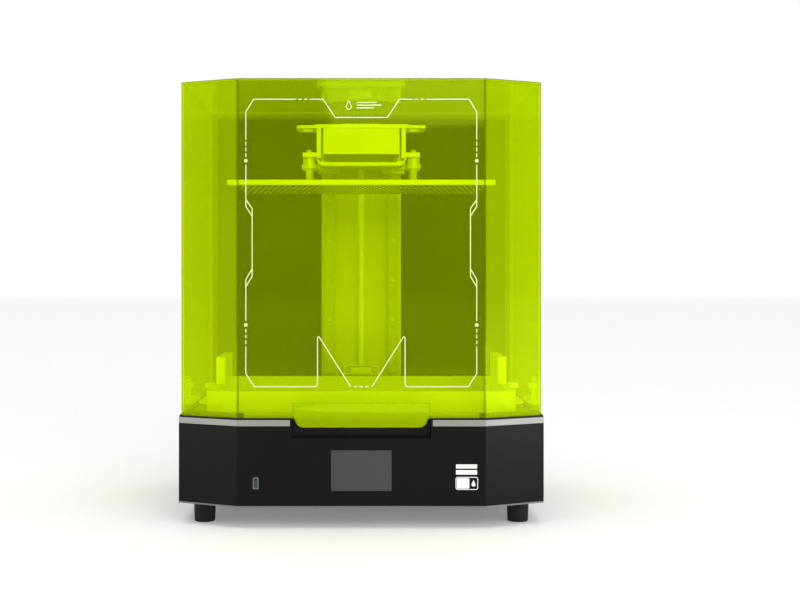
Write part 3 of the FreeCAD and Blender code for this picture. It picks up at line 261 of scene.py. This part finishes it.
BRUSHED = (1, 1, 30)
PAINTS = {
    "zinc_steel": look((0.62, 0.62, 0.60), 0.32, 1.0, grain=0.1),
    "black_steel": look((0.0026, 0.0027, 0.0028), 0.32, 0.0, 0.10, grain=0.06, grain_scale=1800,
                        specular=0.12),
    "black_rubber": look((0.008, 0.008, 0.008), 0.6, 0.0, 0.15, grain=0.2, specular=0.2),
    "black_plastic": look((0.008, 0.008, 0.009), 0.42, 0.0, 0.08, grain=0.2, grain_scale=2200, specular=0.2),
    "silver_aluminium": look((0.80, 0.80, 0.79), 0.40, 0.35, 0.03, grain=0.08, grain_scale=1600),
    "deck_aluminium": look((0.28, 0.285, 0.26), 0.36, 0.3, 0.03, grain=0.08),
    "column_aluminium": look((0.68, 0.68, 0.67), 0.40, 0.3, 0.03, grain=0.05),
    "vat_aluminium": look((0.93, 0.93, 0.92), 0.40, 0.2, 0.03, grain=0.05),
    "rail_steel": look((0.50, 0.50, 0.50), 0.35, 0.5, 0.03, grain=0.05),
    "screw_steel": look((0.95, 0.95, 0.93), 0.30, 0.3, 0.02),
    "bottom_steel": look((0.16, 0.16, 0.16), 0.4, 0.3, 0.04, grain=0.08),
    "display_glass": look((0.02, 0.02, 0.024), 0.10, 0.0, 0.1, rough_spread=0.02, coat=0.5),
    "clear_lens": look((0.7, 0.72, 0.72), 0.15),
    "circuit_board": look((0.02, 0.13, 0.05), 0.4, grain=0.1),
    "motor_steel": look((0.03, 0.03, 0.03), 0.4, 0.6, stretch=BRUSHED),
    "screen": look((0.056, 0.056, 0.058), 0.3, 0.0, 0.02, rough_spread=0.03, specular=0.2),
    "contact_brass": look((0.70, 0.50, 0.20), 0.28, 1.0),
    "bearing_steel": look((0.70, 0.70, 0.70), 0.25, 0.7, grain=0.05, stretch=BRUSHED),
    "clear_film": look((0.62, 0.64, 0.64), 0.12),
    "plate_face": look((0.84, 0.84, 0.83), 0.38, 0.3, 0.03, grain=0.1),
    # plate_under is painted shade: the plate's face that looks down is painted nearly black, while the pocket
    # walls keep the pale metal.
    "plate_under": look((0.05, 0.05, 0.05), 0.3, 0.3, 0.05, grain=0.03),
    "plate_dimple": look((0.80, 0.80, 0.79), 0.5, 0.1, 0.05),
    "trim_ink": look((0.74, 0.80, 0.34), 0.5, 0.0, 0.02),
    "badge_ink": look((0.88, 0.88, 0.88), 0.5, 0.0, 0.02),
    "usb_steel": look((0.36, 0.50, 0.49), 0.35, 0.3, 0.04),
    "usb_tongue": look((0.03, 0.06, 0.06), 0.45),
}
# The hood is one tinted acrylic, and its looks differ only by the way a panel faces: the extra haze of the
# chamfers and sides is painted sheen, a painted reflection of the side lights; the haze of the cut edges is a
# painted highlight; the deeper tints of the roof, the rear slope and the rounded corners and the darker,
# denser pull lip are painted shade.
ACRYLICS = {
    "hood_clear": dict(haze=0.08),
    "hood_chamfer_painted_sheen": dict(haze=0.20, polish=0.3),
    "hood_side": dict(haze=0.12),
    "hood_roof": dict(haze=0.09, tint=(0.74, 0.82, 0.05)),
    "hood_edge": dict(haze=0.38, colour=(0.80, 1.0, 0.03)),
    "hood_corner": dict(haze=0.10, tint=(0.55, 0.62, 0.03)),
    "hood_slope": dict(haze=0.08, tint=(0.26, 0.29, 0.02)),
    "hood_lip": dict(haze=0.42, colour=(0.46, 0.60, 0.0)),
}


def make_materials():
    """One finish for each material slot of the record, and more for the pieces made here."""
    materials = {name: paint(name, **numbers) for name, numbers in PAINTS.items()}
    materials.update({name: acrylic(name, **numbers) for name, numbers in ACRYLICS.items()})
    return materials


# ---------------------------------------------------------------- mesh helpers

def new_piece(name, mesh_maker, materials, body, smooth=False):
    """A mesh piece from a function that fills a bmesh, riding on a CAD body."""
    mesh = bpy.data.meshes.new(name)
    work = bmesh.new()
    mesh_maker(work)
    bmesh.ops.recalc_face_normals(work, faces=work.faces)
    work.to_mesh(mesh)
    work.free()
    piece = bpy.data.objects.new(name, mesh)
    bpy.context.scene.collection.objects.link(piece)
    for material in materials:
        mesh.materials.append(material)
    if smooth:
        mesh.polygons.foreach_set("use_smooth", [True] * len(mesh.polygons))
    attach(piece, body)
    return piece


def add_bevel(piece, width, segments=2, angle=30, material=-1):
    """Rounds the edges sharper than an angle in degrees; the round takes a material by its index."""
    modifier = piece.modifiers.new("edge_rounding", "BEVEL")
    modifier.width = width
    modifier.segments = segments
    modifier.limit_method = "ANGLE"
    modifier.angle_limit = math.radians(angle)
    modifier.material = material


def add_wall(piece, thickness, rim):
    """Makes a sheet solid towards its inside; its cut edge takes the material at index rim."""
    modifier = piece.modifiers.new("wall", "SOLIDIFY")
    modifier.thickness = thickness
    modifier.offset = -1
    modifier.material_offset_rim = rim
    return modifier


def soften_cad(node, width):
    """Rounds a CAD node's sharp edges in the render; its own mesh data stays unchanged."""
    piece = frame["nodes"][node]
    weld = piece.modifiers.new("join_corners", "WELD")
    weld.merge_threshold = 1e-5
    add_bevel(piece, width)


def body_of(node):
    """The name of the CAD body that holds a node."""
    bodies = frame["record"]["behaviour"]["bodies"]
    return next(name for name, nodes in bodies.items() if node in nodes)


def axis_of(node):
    """The (x, y) middle of a node that stands upright."""
    low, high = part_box(node)
    return (low.x + high.x) / 2, (low.y + high.y) / 2


def skin(work, rings):
    """Quads between rings of vertices, each with as many as the next, and a cap on both ends."""
    count = len(rings[0])
    for lower, upper in zip(rings, rings[1:]):
        for step in range(count):
            after = (step + 1) % count
            work.faces.new((lower[step], lower[after], upper[after], upper[step]))
    work.faces.new(list(reversed(rings[0])))
    work.faces.new(rings[-1])


def turned_ring(work, centre, z, segments, radius_at):
    """A level ring of vertices whose radius is a function of the angle."""
    ring = []
    for step in range(segments):
        angle = 2 * math.pi * step / segments
        reach = radius_at(angle)
        x, y = centre[0] + reach * math.cos(angle), centre[1] + reach * math.sin(angle)
        ring.append(work.verts.new((x, y, z)))
    return ring


def lathe(work, profile, centre, segments, ridges=0):
    """A closed turned shape; profile rows are (z, radius, ridge depth), from the bottom up."""
    def reach(radius, depth):
        return lambda angle: radius - depth * (0.5 - 0.5 * math.cos(ridges * angle) if ridges else 0)

    skin(work, [turned_ring(work, centre, z, segments, reach(radius, depth)) for z, radius, depth in profile])


def ribbon(work, points, width, front, depth, closed=False):
    """A printed line of even width through (x, z) points, as a thin solid facing -Y."""
    sharpest = 0.35  # keeps the outside of a sharp corner from running far out
    flat = [Vector(point) for point in points]
    count = len(flat)
    sides = []
    for index, point in enumerate(flat):
        before = flat[index - 1] if index or closed else None
        after = flat[(index + 1) % count] if index < count - 1 or closed else None
        run_in = (point - before).normalized() if before is not None else None
        run_out = (after - point).normalized() if after is not None else None
        heading = ((run_in or run_out) + (run_out or run_in)).normalized()
        across = Vector((-heading.y, heading.x))
        straight = run_in or run_out
        reach = width / 2 / max(sharpest, Vector((-straight.y, straight.x)).dot(across))
        sides.append((point + across * reach, point - across * reach))
    near = [[work.verts.new((v.x, front, v.y)) for v in pair] for pair in sides]
    far = [[work.verts.new((v.x, front + depth, v.y)) for v in pair] for pair in sides]
    for here in range(count if closed else count - 1):
        there = (here + 1) % count
        work.faces.new((near[here][0], near[there][0], near[there][1], near[here][1]))
        work.faces.new((far[here][1], far[there][1], far[there][0], far[here][0]))
        work.faces.new((near[here][0], far[here][0], far[there][0], near[there][0]))
        work.faces.new((near[there][1], far[there][1], far[here][1], near[here][1]))
    if not closed:
        for end in (0, count - 1):
            work.faces.new((near[end][0], near[end][1], far[end][1], far[end][0]))


def solid_outline(work, points, front, depth):
    """A filled flat outline of (x, z) points, as a thin solid facing -Y."""
    near = [work.verts.new((x, front, z)) for x, z in points]
    far = [work.verts.new((x, front + depth, z)) for x, z in points]
    work.faces.new(near)
    work.faces.new(list(reversed(far)))
    for index in range(len(points)):
        after = (index + 1) % len(points)
        work.faces.new((near[index], far[index], far[after], near[after]))


def box_outline(low, high, radius, steps=5):
    """(x, z) points in metres round a rectangle with rounded corners, whose own numbers are in mm."""
    low, high = [edge * MM for edge in low], [edge * MM for edge in high]
    radius *= MM
    corners = [(high[0] - radius, low[1] + radius, -90), (high[0] - radius, high[1] - radius, 0),
               (low[0] + radius, high[1] - radius, 90), (low[0] + radius, low[1] + radius, 180)]
    points = []
    for x, z, start in corners:
        for step in range(steps + 1):
            angle = math.radians(start + 90 * step / steps)
            points.append((x + radius * math.cos(angle), z + radius * math.sin(angle)))
    return points


def droplet(centre, height):
    """(x, z) points round a drop of liquid, point up; its centre and height are in metres."""
    radius, sink, tip = height * 0.3, height * 0.2, height * 0.5
    start, sweep, steps = -215, 250, 24
    points = []
    for step in range(steps + 1):
        angle = math.radians(start + sweep * step / steps)
        points.append((centre[0] + radius * math.cos(angle), centre[1] - sink + radius * math.sin(angle)))
    points.append((centre[0], centre[1] + tip))
    return points


# ---------------------------------------------------------------- hood

HOOD_LOOKS = ("hood_clear", "hood_chamfer_painted_sheen", "hood_side", "hood_edge", "hood_slope", "hood_corner", "hood_roof")


def hood_look(normal):
    """Which of HOOD_LOOKS a panel takes, from the way it faces; the looks carry painted sheen and painted
    shade.
    """
    if normal.y > 0.3:
        return "hood_slope"
    if normal.z > 0.9:
        return "hood_roof"
    if abs(normal.x) > 0.9:
        return "hood_side"
    if abs(normal.x) > 0.2:
        return "hood_chamfer_painted_sheen"
    return "hood_clear"


def make_hood_shell(materials):
    """One glued acrylic cover, open below, with small rounded corners."""
    front_low, front_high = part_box("hood_front")
    side_low, side_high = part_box("hood_sides")
    corner_x, half_x = front_high.x, side_high.x
    front_y, shoulder_y, rear_y = front_low.y, side_low.y, side_high.y
    low_z = front_low.z
    top_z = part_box("hood_top")[1].z
    top_rear_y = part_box("hood_top")[1].y
    shoulder_z = top_z - (rear_y - top_rear_y)

    def fill(work):
        plan = [(-half_x, rear_y), (-half_x, shoulder_y), (-corner_x, front_y), (corner_x, front_y),
                (half_x, shoulder_y), (half_x, rear_y)]
        bottom = [work.verts.new((x, y, low_z)) for x, y in plan]
        top = [work.verts.new((x, min(y, top_rear_y), top_z)) for x, y in plan]
        left_shoulder = work.verts.new((-half_x, rear_y, shoulder_z))
        right_shoulder = work.verts.new((half_x, rear_y, shoulder_z))
        for index in range(1, 4):
            work.faces.new((bottom[index], bottom[index + 1], top[index + 1], top[index]))
        work.faces.new((bottom[0], bottom[1], top[1], top[0], left_shoulder))
        work.faces.new((bottom[4], bottom[5], right_shoulder, top[5], top[4]))
        work.faces.new((bottom[5], bottom[0], left_shoulder, right_shoulder))
        work.faces.new((right_shoulder, left_shoulder, top[0], top[5]))
        work.faces.new(top)

    shell = new_piece("hood_shell", fill, [materials[name] for name in HOOD_LOOKS], "hood")
    # Each panel takes the look for the way it faces: painted sheen on the chamfers and sides, painted shade
    # on the roof and rear slope; the rounds take painted shade and the cut edges a painted highlight.
    for face in shell.data.polygons:
        face.material_index = HOOD_LOOKS.index(hood_look(face.normal))
    add_bevel(shell, 1.6 * MM, segments=3, angle=10, material=HOOD_LOOKS.index("hood_corner"))
    wall = add_wall(shell, front_high.y - front_low.y, rim=HOOD_LOOKS.index("hood_edge"))
    wall.use_even_offset = True
    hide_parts("hood_front", "hood_chamfers", "hood_sides", "hood_rear", "hood_top")


def make_hood_lip(materials):
    """Pull lip: flares out from the front panel, then hangs down with rounded lower corners."""
    low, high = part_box("hood_lip")
    inset = 0.0002                            # keeps the sheet's skin inside the CAD box
    back, front = high.y - inset, low.y + inset
    flare_end = 0.45                          # share of the height that the flare takes
    half_top, half_low = high.x, high.x - 7.5 * MM
    taper_height = 0.0175                     # the sides draw in over this height above the bottom
    corner_radius = 6 * MM
    rows, columns = 26, 48

    def fill(work):
        grid = []
        for row in range(rows + 1):
            drop = row / rows
            z = high.z + (low.z - high.z) * drop
            flare = min(1, drop / flare_end)
            y = back + (front - back) * (flare * flare * (3 - 2 * flare))
            above = z - low.z
            half = half_low + (half_top - half_low) * min(1, max(0, above / taper_height))
            if above < corner_radius:
                half -= corner_radius - math.sqrt(corner_radius ** 2 - (corner_radius - above) ** 2)
            grid.append([work.verts.new((half * (2 * column / columns - 1), y, z))
                         for column in range(columns + 1)])
        for upper, lower in zip(grid, grid[1:]):
            for column in range(columns):
                work.faces.new((upper[column], lower[column], lower[column + 1], upper[column + 1]))

    # The lip's own darker, denser look is painted shade on the flared bump; its cut edge takes the painted
    # highlight.
    lip = new_piece("hood_pull_lip", fill, [materials["hood_lip"], materials["hood_edge"]], "hood",
                    smooth=True)
    if lip.data.polygons[0].normal.y > 0:
        lip.data.flip_normals()
    add_wall(lip, 0.6 * MM, rim=1)
    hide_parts("hood_lip")


# ---------------------------------------------------------------- printed marks on the hood

# In metres: how far the ink's front is off the panel, its thickness, and how much each line of the frame
# lies in front of the one before, so that crossing lines don't share a face.
INK_RAISE, INK_DEPTH, LEVEL = 0.0002, 0.00018, 0.000002

# The line frame on the front panel, in mm: x outwards from the middle, z above the floor.
LINE, SQUARE = 1.4, 4.1
OUTER, INNER = 147.2, 139.2
TOP, BOTTOM = 547.8, 181.3
TOP_NOTCH = [(-66.1, TOP), (-48.7, TOP), (-33.3, 524.6), (33.3, 524.6), (48.7, TOP), (66.1, TOP)]
RIGHT_LINES = [
    [(83.0, TOP), (137.3, TOP), (OUTER, 531.6), (OUTER, 496.3)],
    [(OUTER, 464.2), (OUTER, 411.1), (INNER, 398.7)],
    [(OUTER - 0.4, 419.3), (INNER, 408.4), (INNER, 322.1), (OUTER, 308.5)],
    [(INNER + 0.4, 330.9), (OUTER, 317.9), (OUTER, 265.1)],
    [(OUTER, 232.7), (OUTER, 197.8), (136.5, BOTTOM), (59.5, BOTTOM), (56.9, 182.2), (55.8, 184.6),
     (55.8, 243.0), (55.2, 244.9), (53.6, 244.6), (13.7, BOTTOM)],
]
TOP_DASHES = [(80.3, 75.7), (72.8, 68.5)]
SIDE_DASHES = [(493.6, 488.7), (486.5, 481.4), (478.8, 474.1), (254.9, 250.2), (247.6, 243.0), (240.4, 235.6)]
SQUARES = [469.4, 260.0]
CENTRE_DASHES = [(-9.5, -5.0), (-2.3, 2.3), (5.0, 9.5)]


def trim_lines():
    """Every line of the frame as (points, width); the right side's lines are mirrored to the left."""
    lines = [(TOP_NOTCH, LINE)]
    for side in (-1, 1):
        lines += [([(side * x, z) for x, z in points], LINE) for points in RIGHT_LINES]
        lines += [([(side * start, TOP), (side * end, TOP)], LINE) for start, end in TOP_DASHES]
        lines += [([(side * OUTER, start), (side * OUTER, end)], LINE) for start, end in SIDE_DASHES]
        lines += [([(side * OUTER, z + SQUARE / 2), (side * OUTER, z - SQUARE / 2)], SQUARE) for z in SQUARES]
    lines += [([(start, BOTTOM), (end, BOTTOM)], LINE) for start, end in CENTRE_DASHES]
    return lines


def make_front_trim(materials):
    """Fine printed line frame on the hood's front panel, mirrored about the middle."""
    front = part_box("hood_front")[0].y - INK_RAISE

    def fill(work):
        for level, (points, width) in enumerate(trim_lines(), 1):
            ribbon(work, [(x * MM, z * MM) for x, z in points], width * MM, front - LEVEL * level,
                   INK_DEPTH + LEVEL * level)

    new_piece("hood_line_frame", fill, [materials["trim_ink"]], "hood")


def make_front_mark(materials):
    """A plain mark between the lines: a drop of liquid and a stack of layers."""
    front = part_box("hood_front")[0].y - INK_RAISE
    bar_start, bar_half, bar_round = -6, 0.8, 0.79
    bars = ((543.6, 20), (540.2, 26), (536.8, 16))  # each bar's height and right end

    def fill(work):
        ribbon(work, droplet((-16 * MM, 540.5 * MM), 11 * MM), 1.1 * MM, front, INK_DEPTH, closed=True)
        for z, end in bars:
            outline = box_outline((bar_start, z - bar_half), (end, z + bar_half), bar_round)
            solid_outline(work, outline, front, INK_DEPTH)

    new_piece("hood_mark", fill, [materials["trim_ink"]], "hood")


def make_side_trim(materials):
    """Short printed dashes on the hood's side panels."""
    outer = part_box("hood_sides")[1].x
    half = 0.8
    columns = ((-152, ((533, 519), (515, 505), (500, 487), (158, 148))), (58, ((547, 545), (534, 520))))

    def fill(work):
        for side in (-1, 1):
            near, far = side * outer, side * (outer + INK_DEPTH)
            for y, dashes in columns:
                for start, end in dashes:
                    corners = [(y - half, end), (y + half, end), (y + half, start), (y - half, start)]
                    inner = [work.verts.new((near, cy * MM, cz * MM)) for cy, cz in corners]
                    proud = [work.verts.new((far, cy * MM, cz * MM)) for cy, cz in corners]
                    work.faces.new(inner)
                    work.faces.new(proud)
                    for index in range(4):
                        after = (index + 1) % 4
                        work.faces.new((inner[index], inner[after], proud[after], proud[index]))

    new_piece("hood_side_dashes", fill, [materials["trim_ink"]], "hood")


# ---------------------------------------------------------------- build plate, screws and feet

def cuts(low, high, margin, count):
    """Places of the lines of a grid with a margin at both ends and some even steps between."""
    step = (high - low - 2 * margin) / count
    return [low] + [low + margin + step * index for index in range(count + 1)] + [high], step


def make_build_plate(materials):
    """Flat plate with rounded upper edges and rows of short staggered slots in its underside."""
    low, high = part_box("build_plate")
    pocket = 0.6 * MM
    xs, step_x = cuts(low.x, high.x, 9.5 * MM, 84)
    ys, step_y = cuts(low.y, high.y, 9 * MM, 7)
    half_x, half_y = step_x * 0.30, step_y * 0.36
    # The underside takes painted shade, nearly black because it faces down; the pockets' walls and floors
    # keep the pale metal.
    under, dimple = 1, 2                      # places in the plate's list of materials

    def fill(work):
        verts = {}

        def corner(x, y):
            key = (round(x, 6), round(y, 6))
            if key not in verts:
                verts[key] = work.verts.new((x, y, low.z))
            return verts[key]

        for column, (x0, x1) in enumerate(zip(xs, xs[1:])):
            for row, (y0, y1) in enumerate(zip(ys, ys[1:])):
                outer = [corner(x, y) for x, y in ((x0, y0), (x1, y0), (x1, y1), (x0, y1))]
                inside = 0 < column < len(xs) - 2 and 0 < row < len(ys) - 2
                if not inside or (column + row) % 2:
                    work.faces.new(outer).material_index = under
                    continue
                cx, cy = (x0 + x1) / 2, (y0 + y1) / 2
                ring = [(cx - half_x, cy - half_y), (cx + half_x, cy - half_y), (cx + half_x, cy + half_y),
                        (cx - half_x, cy + half_y)]
                mouth = [work.verts.new((x, y, low.z)) for x, y in ring]
                floor = [work.verts.new((x, y, low.z + pocket)) for x, y in ring]
                for index in range(4):
                    after = (index + 1) % 4
                    lip = (outer[index], outer[after], mouth[after], mouth[index])
                    wall = (mouth[index], mouth[after], floor[after], floor[index])
                    work.faces.new(lip).material_index = under
                    work.faces.new(wall).material_index = dimple
                work.faces.new(floor).material_index = dimple
        rim = [(x, ys[0]) for x in xs[:-1]] + [(xs[-1], y) for y in ys[:-1]]
        rim += [(x, ys[-1]) for x in reversed(xs[1:])] + [(xs[0], y) for y in reversed(ys[1:])]
        upper = [work.verts.new((x, y, high.z)) for x, y in rim]
        lower = [corner(x, y) for x, y in rim]
        for index in range(len(rim)):
            after = (index + 1) % len(rim)
            work.faces.new((lower[index], lower[after], upper[after], upper[index]))
        work.faces.new(upper)

    plate = new_piece("textured_build_plate", fill,
                      [materials["plate_face"], materials["plate_under"], materials["plate_dimple"]],
                      body_of("build_plate"))
    shape = plate.modifiers.new("edge_rounding", "BEVEL")
    shape.width = 1.6 * MM
    shape.segments = 3
    shape.limit_method = "WEIGHT"
    weights = plate.data.attributes.new("bevel_weight_edge", "FLOAT", "EDGE")
    for index, edge in enumerate(plate.data.edges):
        a, b = (plate.data.vertices[vertex].co for vertex in edge.vertices)
        on_side = [abs(a.x - b.x) < 1e-7 and min(abs(a.x - low.x), abs(a.x - high.x)) < 1e-6,
                   abs(a.y - b.y) < 1e-7 and min(abs(a.y - low.y), abs(a.y - high.y)) < 1e-6]
        if any(on_side) and abs(a.z - b.z) < 1e-7 and abs(a.z - high.z) < 1e-6:
            weights.data[index].value = 1.0
    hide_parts("build_plate")


def make_lead_screw(materials):
    """Two-start thread of 5 mm lead between two plain journals."""
    low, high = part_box("lead_screw")
    centre = axis_of("lead_screw")
    pitch, starts, crest, root, journal = 2.5 * MM, 2, 5 * MM, 4.7 * MM, 4 * MM
    peak, slope = 2.2, 6.4                    # of the flanks, whose tops and bottoms are cut flat
    lower_journal, upper_journal = 29 * MM, 14 * MM
    around, rows_per_pitch = 28, 6
    thread_low, thread_high = low.z + lower_journal, high.z - upper_journal
    rows = int((thread_high - thread_low) / pitch * rows_per_pitch)

    def fill(work):
        def plain(z):
            return turned_ring(work, centre, z, around, lambda angle: journal)

        def threaded(z):
            def radius_at(angle):
                phase = ((z - thread_low) / pitch - starts * angle / (2 * math.pi)) % 1
                return root + (crest - root) * min(1, max(0, peak - abs(phase - 0.5) * slope))

            return turned_ring(work, centre, z, around, radius_at)

        rings = [plain(low.z), plain(thread_low)]
        rings += [threaded(thread_low + (thread_high - thread_low) * row / rows) for row in range(rows + 1)]
        rings += [plain(thread_high), plain(high.z)]
        skin(work, rings)

    screw = new_piece("threaded_lead_screw", fill, [materials["screw_steel"]], body_of("lead_screw"))
    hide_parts("lead_screw")


def make_thumb_screws(materials):
    """Knurled knobs with rounded rims on plain shanks, one for each side of the vat."""
    shank, shoulder = 2 * MM, 4 * MM
    shallow, deep = 0.0002, 0.0006            # depths of the knurling
    for node in sorted(name for name in frame["nodes"] if name.startswith("vat_screw_")):
        low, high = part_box(node)
        radius = (high.x - low.x) / 2
        collar_low, collar_high = low.z + 15.3 * MM, low.z + 18.4 * MM
        knob_low = high.z - 8.2 * MM
        profile = [
            (low.z, shank - 0.4 * MM, 0), (low.z + 0.5 * MM, shank, 0), (collar_low, shank, 0),
            (collar_low, shoulder, 0), (collar_high - 0.4 * MM, shoulder, 0),
            (collar_high, shoulder - 0.5 * MM, 0), (collar_high, shank, 0),
            (knob_low - 1.6 * MM, shank, 0), (knob_low - 1.2 * MM, shank + 1.6 * MM, 0),
            (knob_low, shank + 2.2 * MM, 0), (knob_low, radius - 0.7 * MM, 0),
            (knob_low + 0.7 * MM, radius, shallow), (knob_low + 1.0 * MM, radius, deep),
            (high.z - 1.3 * MM, radius, deep), (high.z - 1.0 * MM, radius, shallow),
            (high.z - 0.3 * MM, radius - 0.9 * MM, 0), (high.z, radius - 2.2 * MM, 0),
            (high.z, radius - 3.6 * MM, 0), (high.z - 0.5 * MM, radius - 4.0 * MM, 0)]

        def fill(work):
            lathe(work, profile, axis_of(node), segments=144, ridges=24)

        knob = new_piece("knurled_" + node, fill, [materials["bearing_steel"]], body_of(node))
        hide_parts(node)


def make_feet(materials):
    """Turned rubber feet, slightly tapered, with a soft lower edge, a groove and a hollow underneath."""
    low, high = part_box("feet")
    top_radius, bottom_radius = 14.5 * MM, 13.5 * MM
    centre_x = high.x - top_radius
    centre_y = high.y - top_radius
    profile = [
        (low.z + 1.5 * MM, 5 * MM, 0), (low.z, 6 * MM, 0), (low.z, bottom_radius - 1.8 * MM, 0),
        (low.z + 0.3 * MM, bottom_radius - 0.8 * MM, 0), (low.z + 0.9 * MM, bottom_radius - 0.2 * MM, 0),
        (low.z + 1.8 * MM, bottom_radius, 0), (high.z - 3 * MM, top_radius - 0.1 * MM, 0),
        (high.z - 2.4 * MM, top_radius - 0.5 * MM, 0), (high.z - 2.0 * MM, top_radius - 0.5 * MM, 0),
        (high.z - 1.6 * MM, top_radius, 0), (high.z, top_radius, 0)]

    def fill(work):
        for x in (-centre_x, centre_x):
            for y in (-centre_y, centre_y):
                lathe(work, profile, (x, y), segments=64)

    feet = new_piece("turned_feet", fill, [materials["black_rubber"]], body_of("feet"))
    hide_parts("feet")


# ---------------------------------------------------------------- base details

def make_badge(materials):
    """Plain badge on the base's front: two bars over a rounded box with a drop in it."""
    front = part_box("front_fascia")[0].y - 0.00015
    filled = (((120.5, 77.4), (147.5, 82.6), 0.8), ((120.5, 69.6), (147.5, 75.4), 0.8))
    panel = ((121.6, 51.8), (137.6, 65.1), 1.4)
    frame_line = ((120.5, 50.7), (148.2, 66.2), 2.4)

    def fill(work):
        for box in filled:
            solid_outline(work, box_outline(*box), front, INK_DEPTH)
        ribbon(work, box_outline(*frame_line), 0.9 * MM, front, INK_DEPTH, closed=True)
        solid_outline(work, box_outline(*panel), front, INK_DEPTH)
        solid_outline(work, droplet((142.9 * MM, 58.6 * MM), 8.4 * MM), front, INK_DEPTH)

    new_piece("front_badge", fill, [materials["badge_ink"]], "base")


def make_usb_tongue(materials):
    """Contact tongue inside the USB socket, on the left of its middle."""
    low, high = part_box("usb_port")
    middle = (low.x + high.x) / 2 / MM
    gap, depth, recess = 1.5, 9 * MM, 0.8 * MM

    def fill(work):
        outline = box_outline((middle - 1.9, low.z / MM + gap), (middle - 0.1, high.z / MM - gap), 0.3)
        solid_outline(work, outline, low.y + recess, depth)

    new_piece("usb_contact_tongue", fill, [materials["usb_tongue"]], body_of("usb_port"))


# ---------------------------------------------------------------- finishing

# Radius in mm of the edges that show rounded.
SOFT_EDGES = {"front_fascia": 0.6, "deck_plate": 0.5, "plate_bracket": 0.6, "bracket_cap": 0.6, "arm": 0.8,
              "carriage_plate": 0.6, "column": 0.5, "plate_standoffs": 0.3, "vat_tray": 0.5,
              "bearing_block_lower": 0.5}
# Nodes whose look differs from the others that share their material slot.
OWN_LOOKS = {"deck_plate": "deck_aluminium", "usb_port": "usb_steel", "bottom_plate": "bottom_steel",
             "column": "column_aluminium", "vat_tray": "vat_aluminium", "vat_handles": "vat_aluminium",
             "rail_left": "rail_steel", "rail_right": "rail_steel"}


def finish_cad_nodes(materials):
    """Every CAD node that stays gets its slot's finish, and the visible ones softer edges."""
    slot_of = {row["node"]: row["material_slot"] for row in frame["record"]["subparts"]}
    for name, piece in frame["nodes"].items():
        slot = "hood_clear" if slot_of[name] == "tinted_acrylic" else slot_of[name]
        chosen = materials[OWN_LOOKS.get(name, slot)]
        if not piece.material_slots:
            piece.data.materials.append(chosen)
        for holder in piece.material_slots:
            holder.material = chosen
    for name, width in SOFT_EDGES.items():
        soften_cad(name, width * MM)


def main():
    bpy.context.scene.view_settings.view_transform = "Standard"
    materials = make_materials()
    make_camera()
    make_world()
    make_lights()
    make_floor()
    finish_cad_nodes(materials)
    for make in (make_hood_shell, make_hood_lip, make_front_trim, make_front_mark, make_side_trim,
                 make_build_plate, make_lead_screw, make_thumb_screws, make_feet, make_badge,
                 make_usb_tongue):
        make(materials)


main()
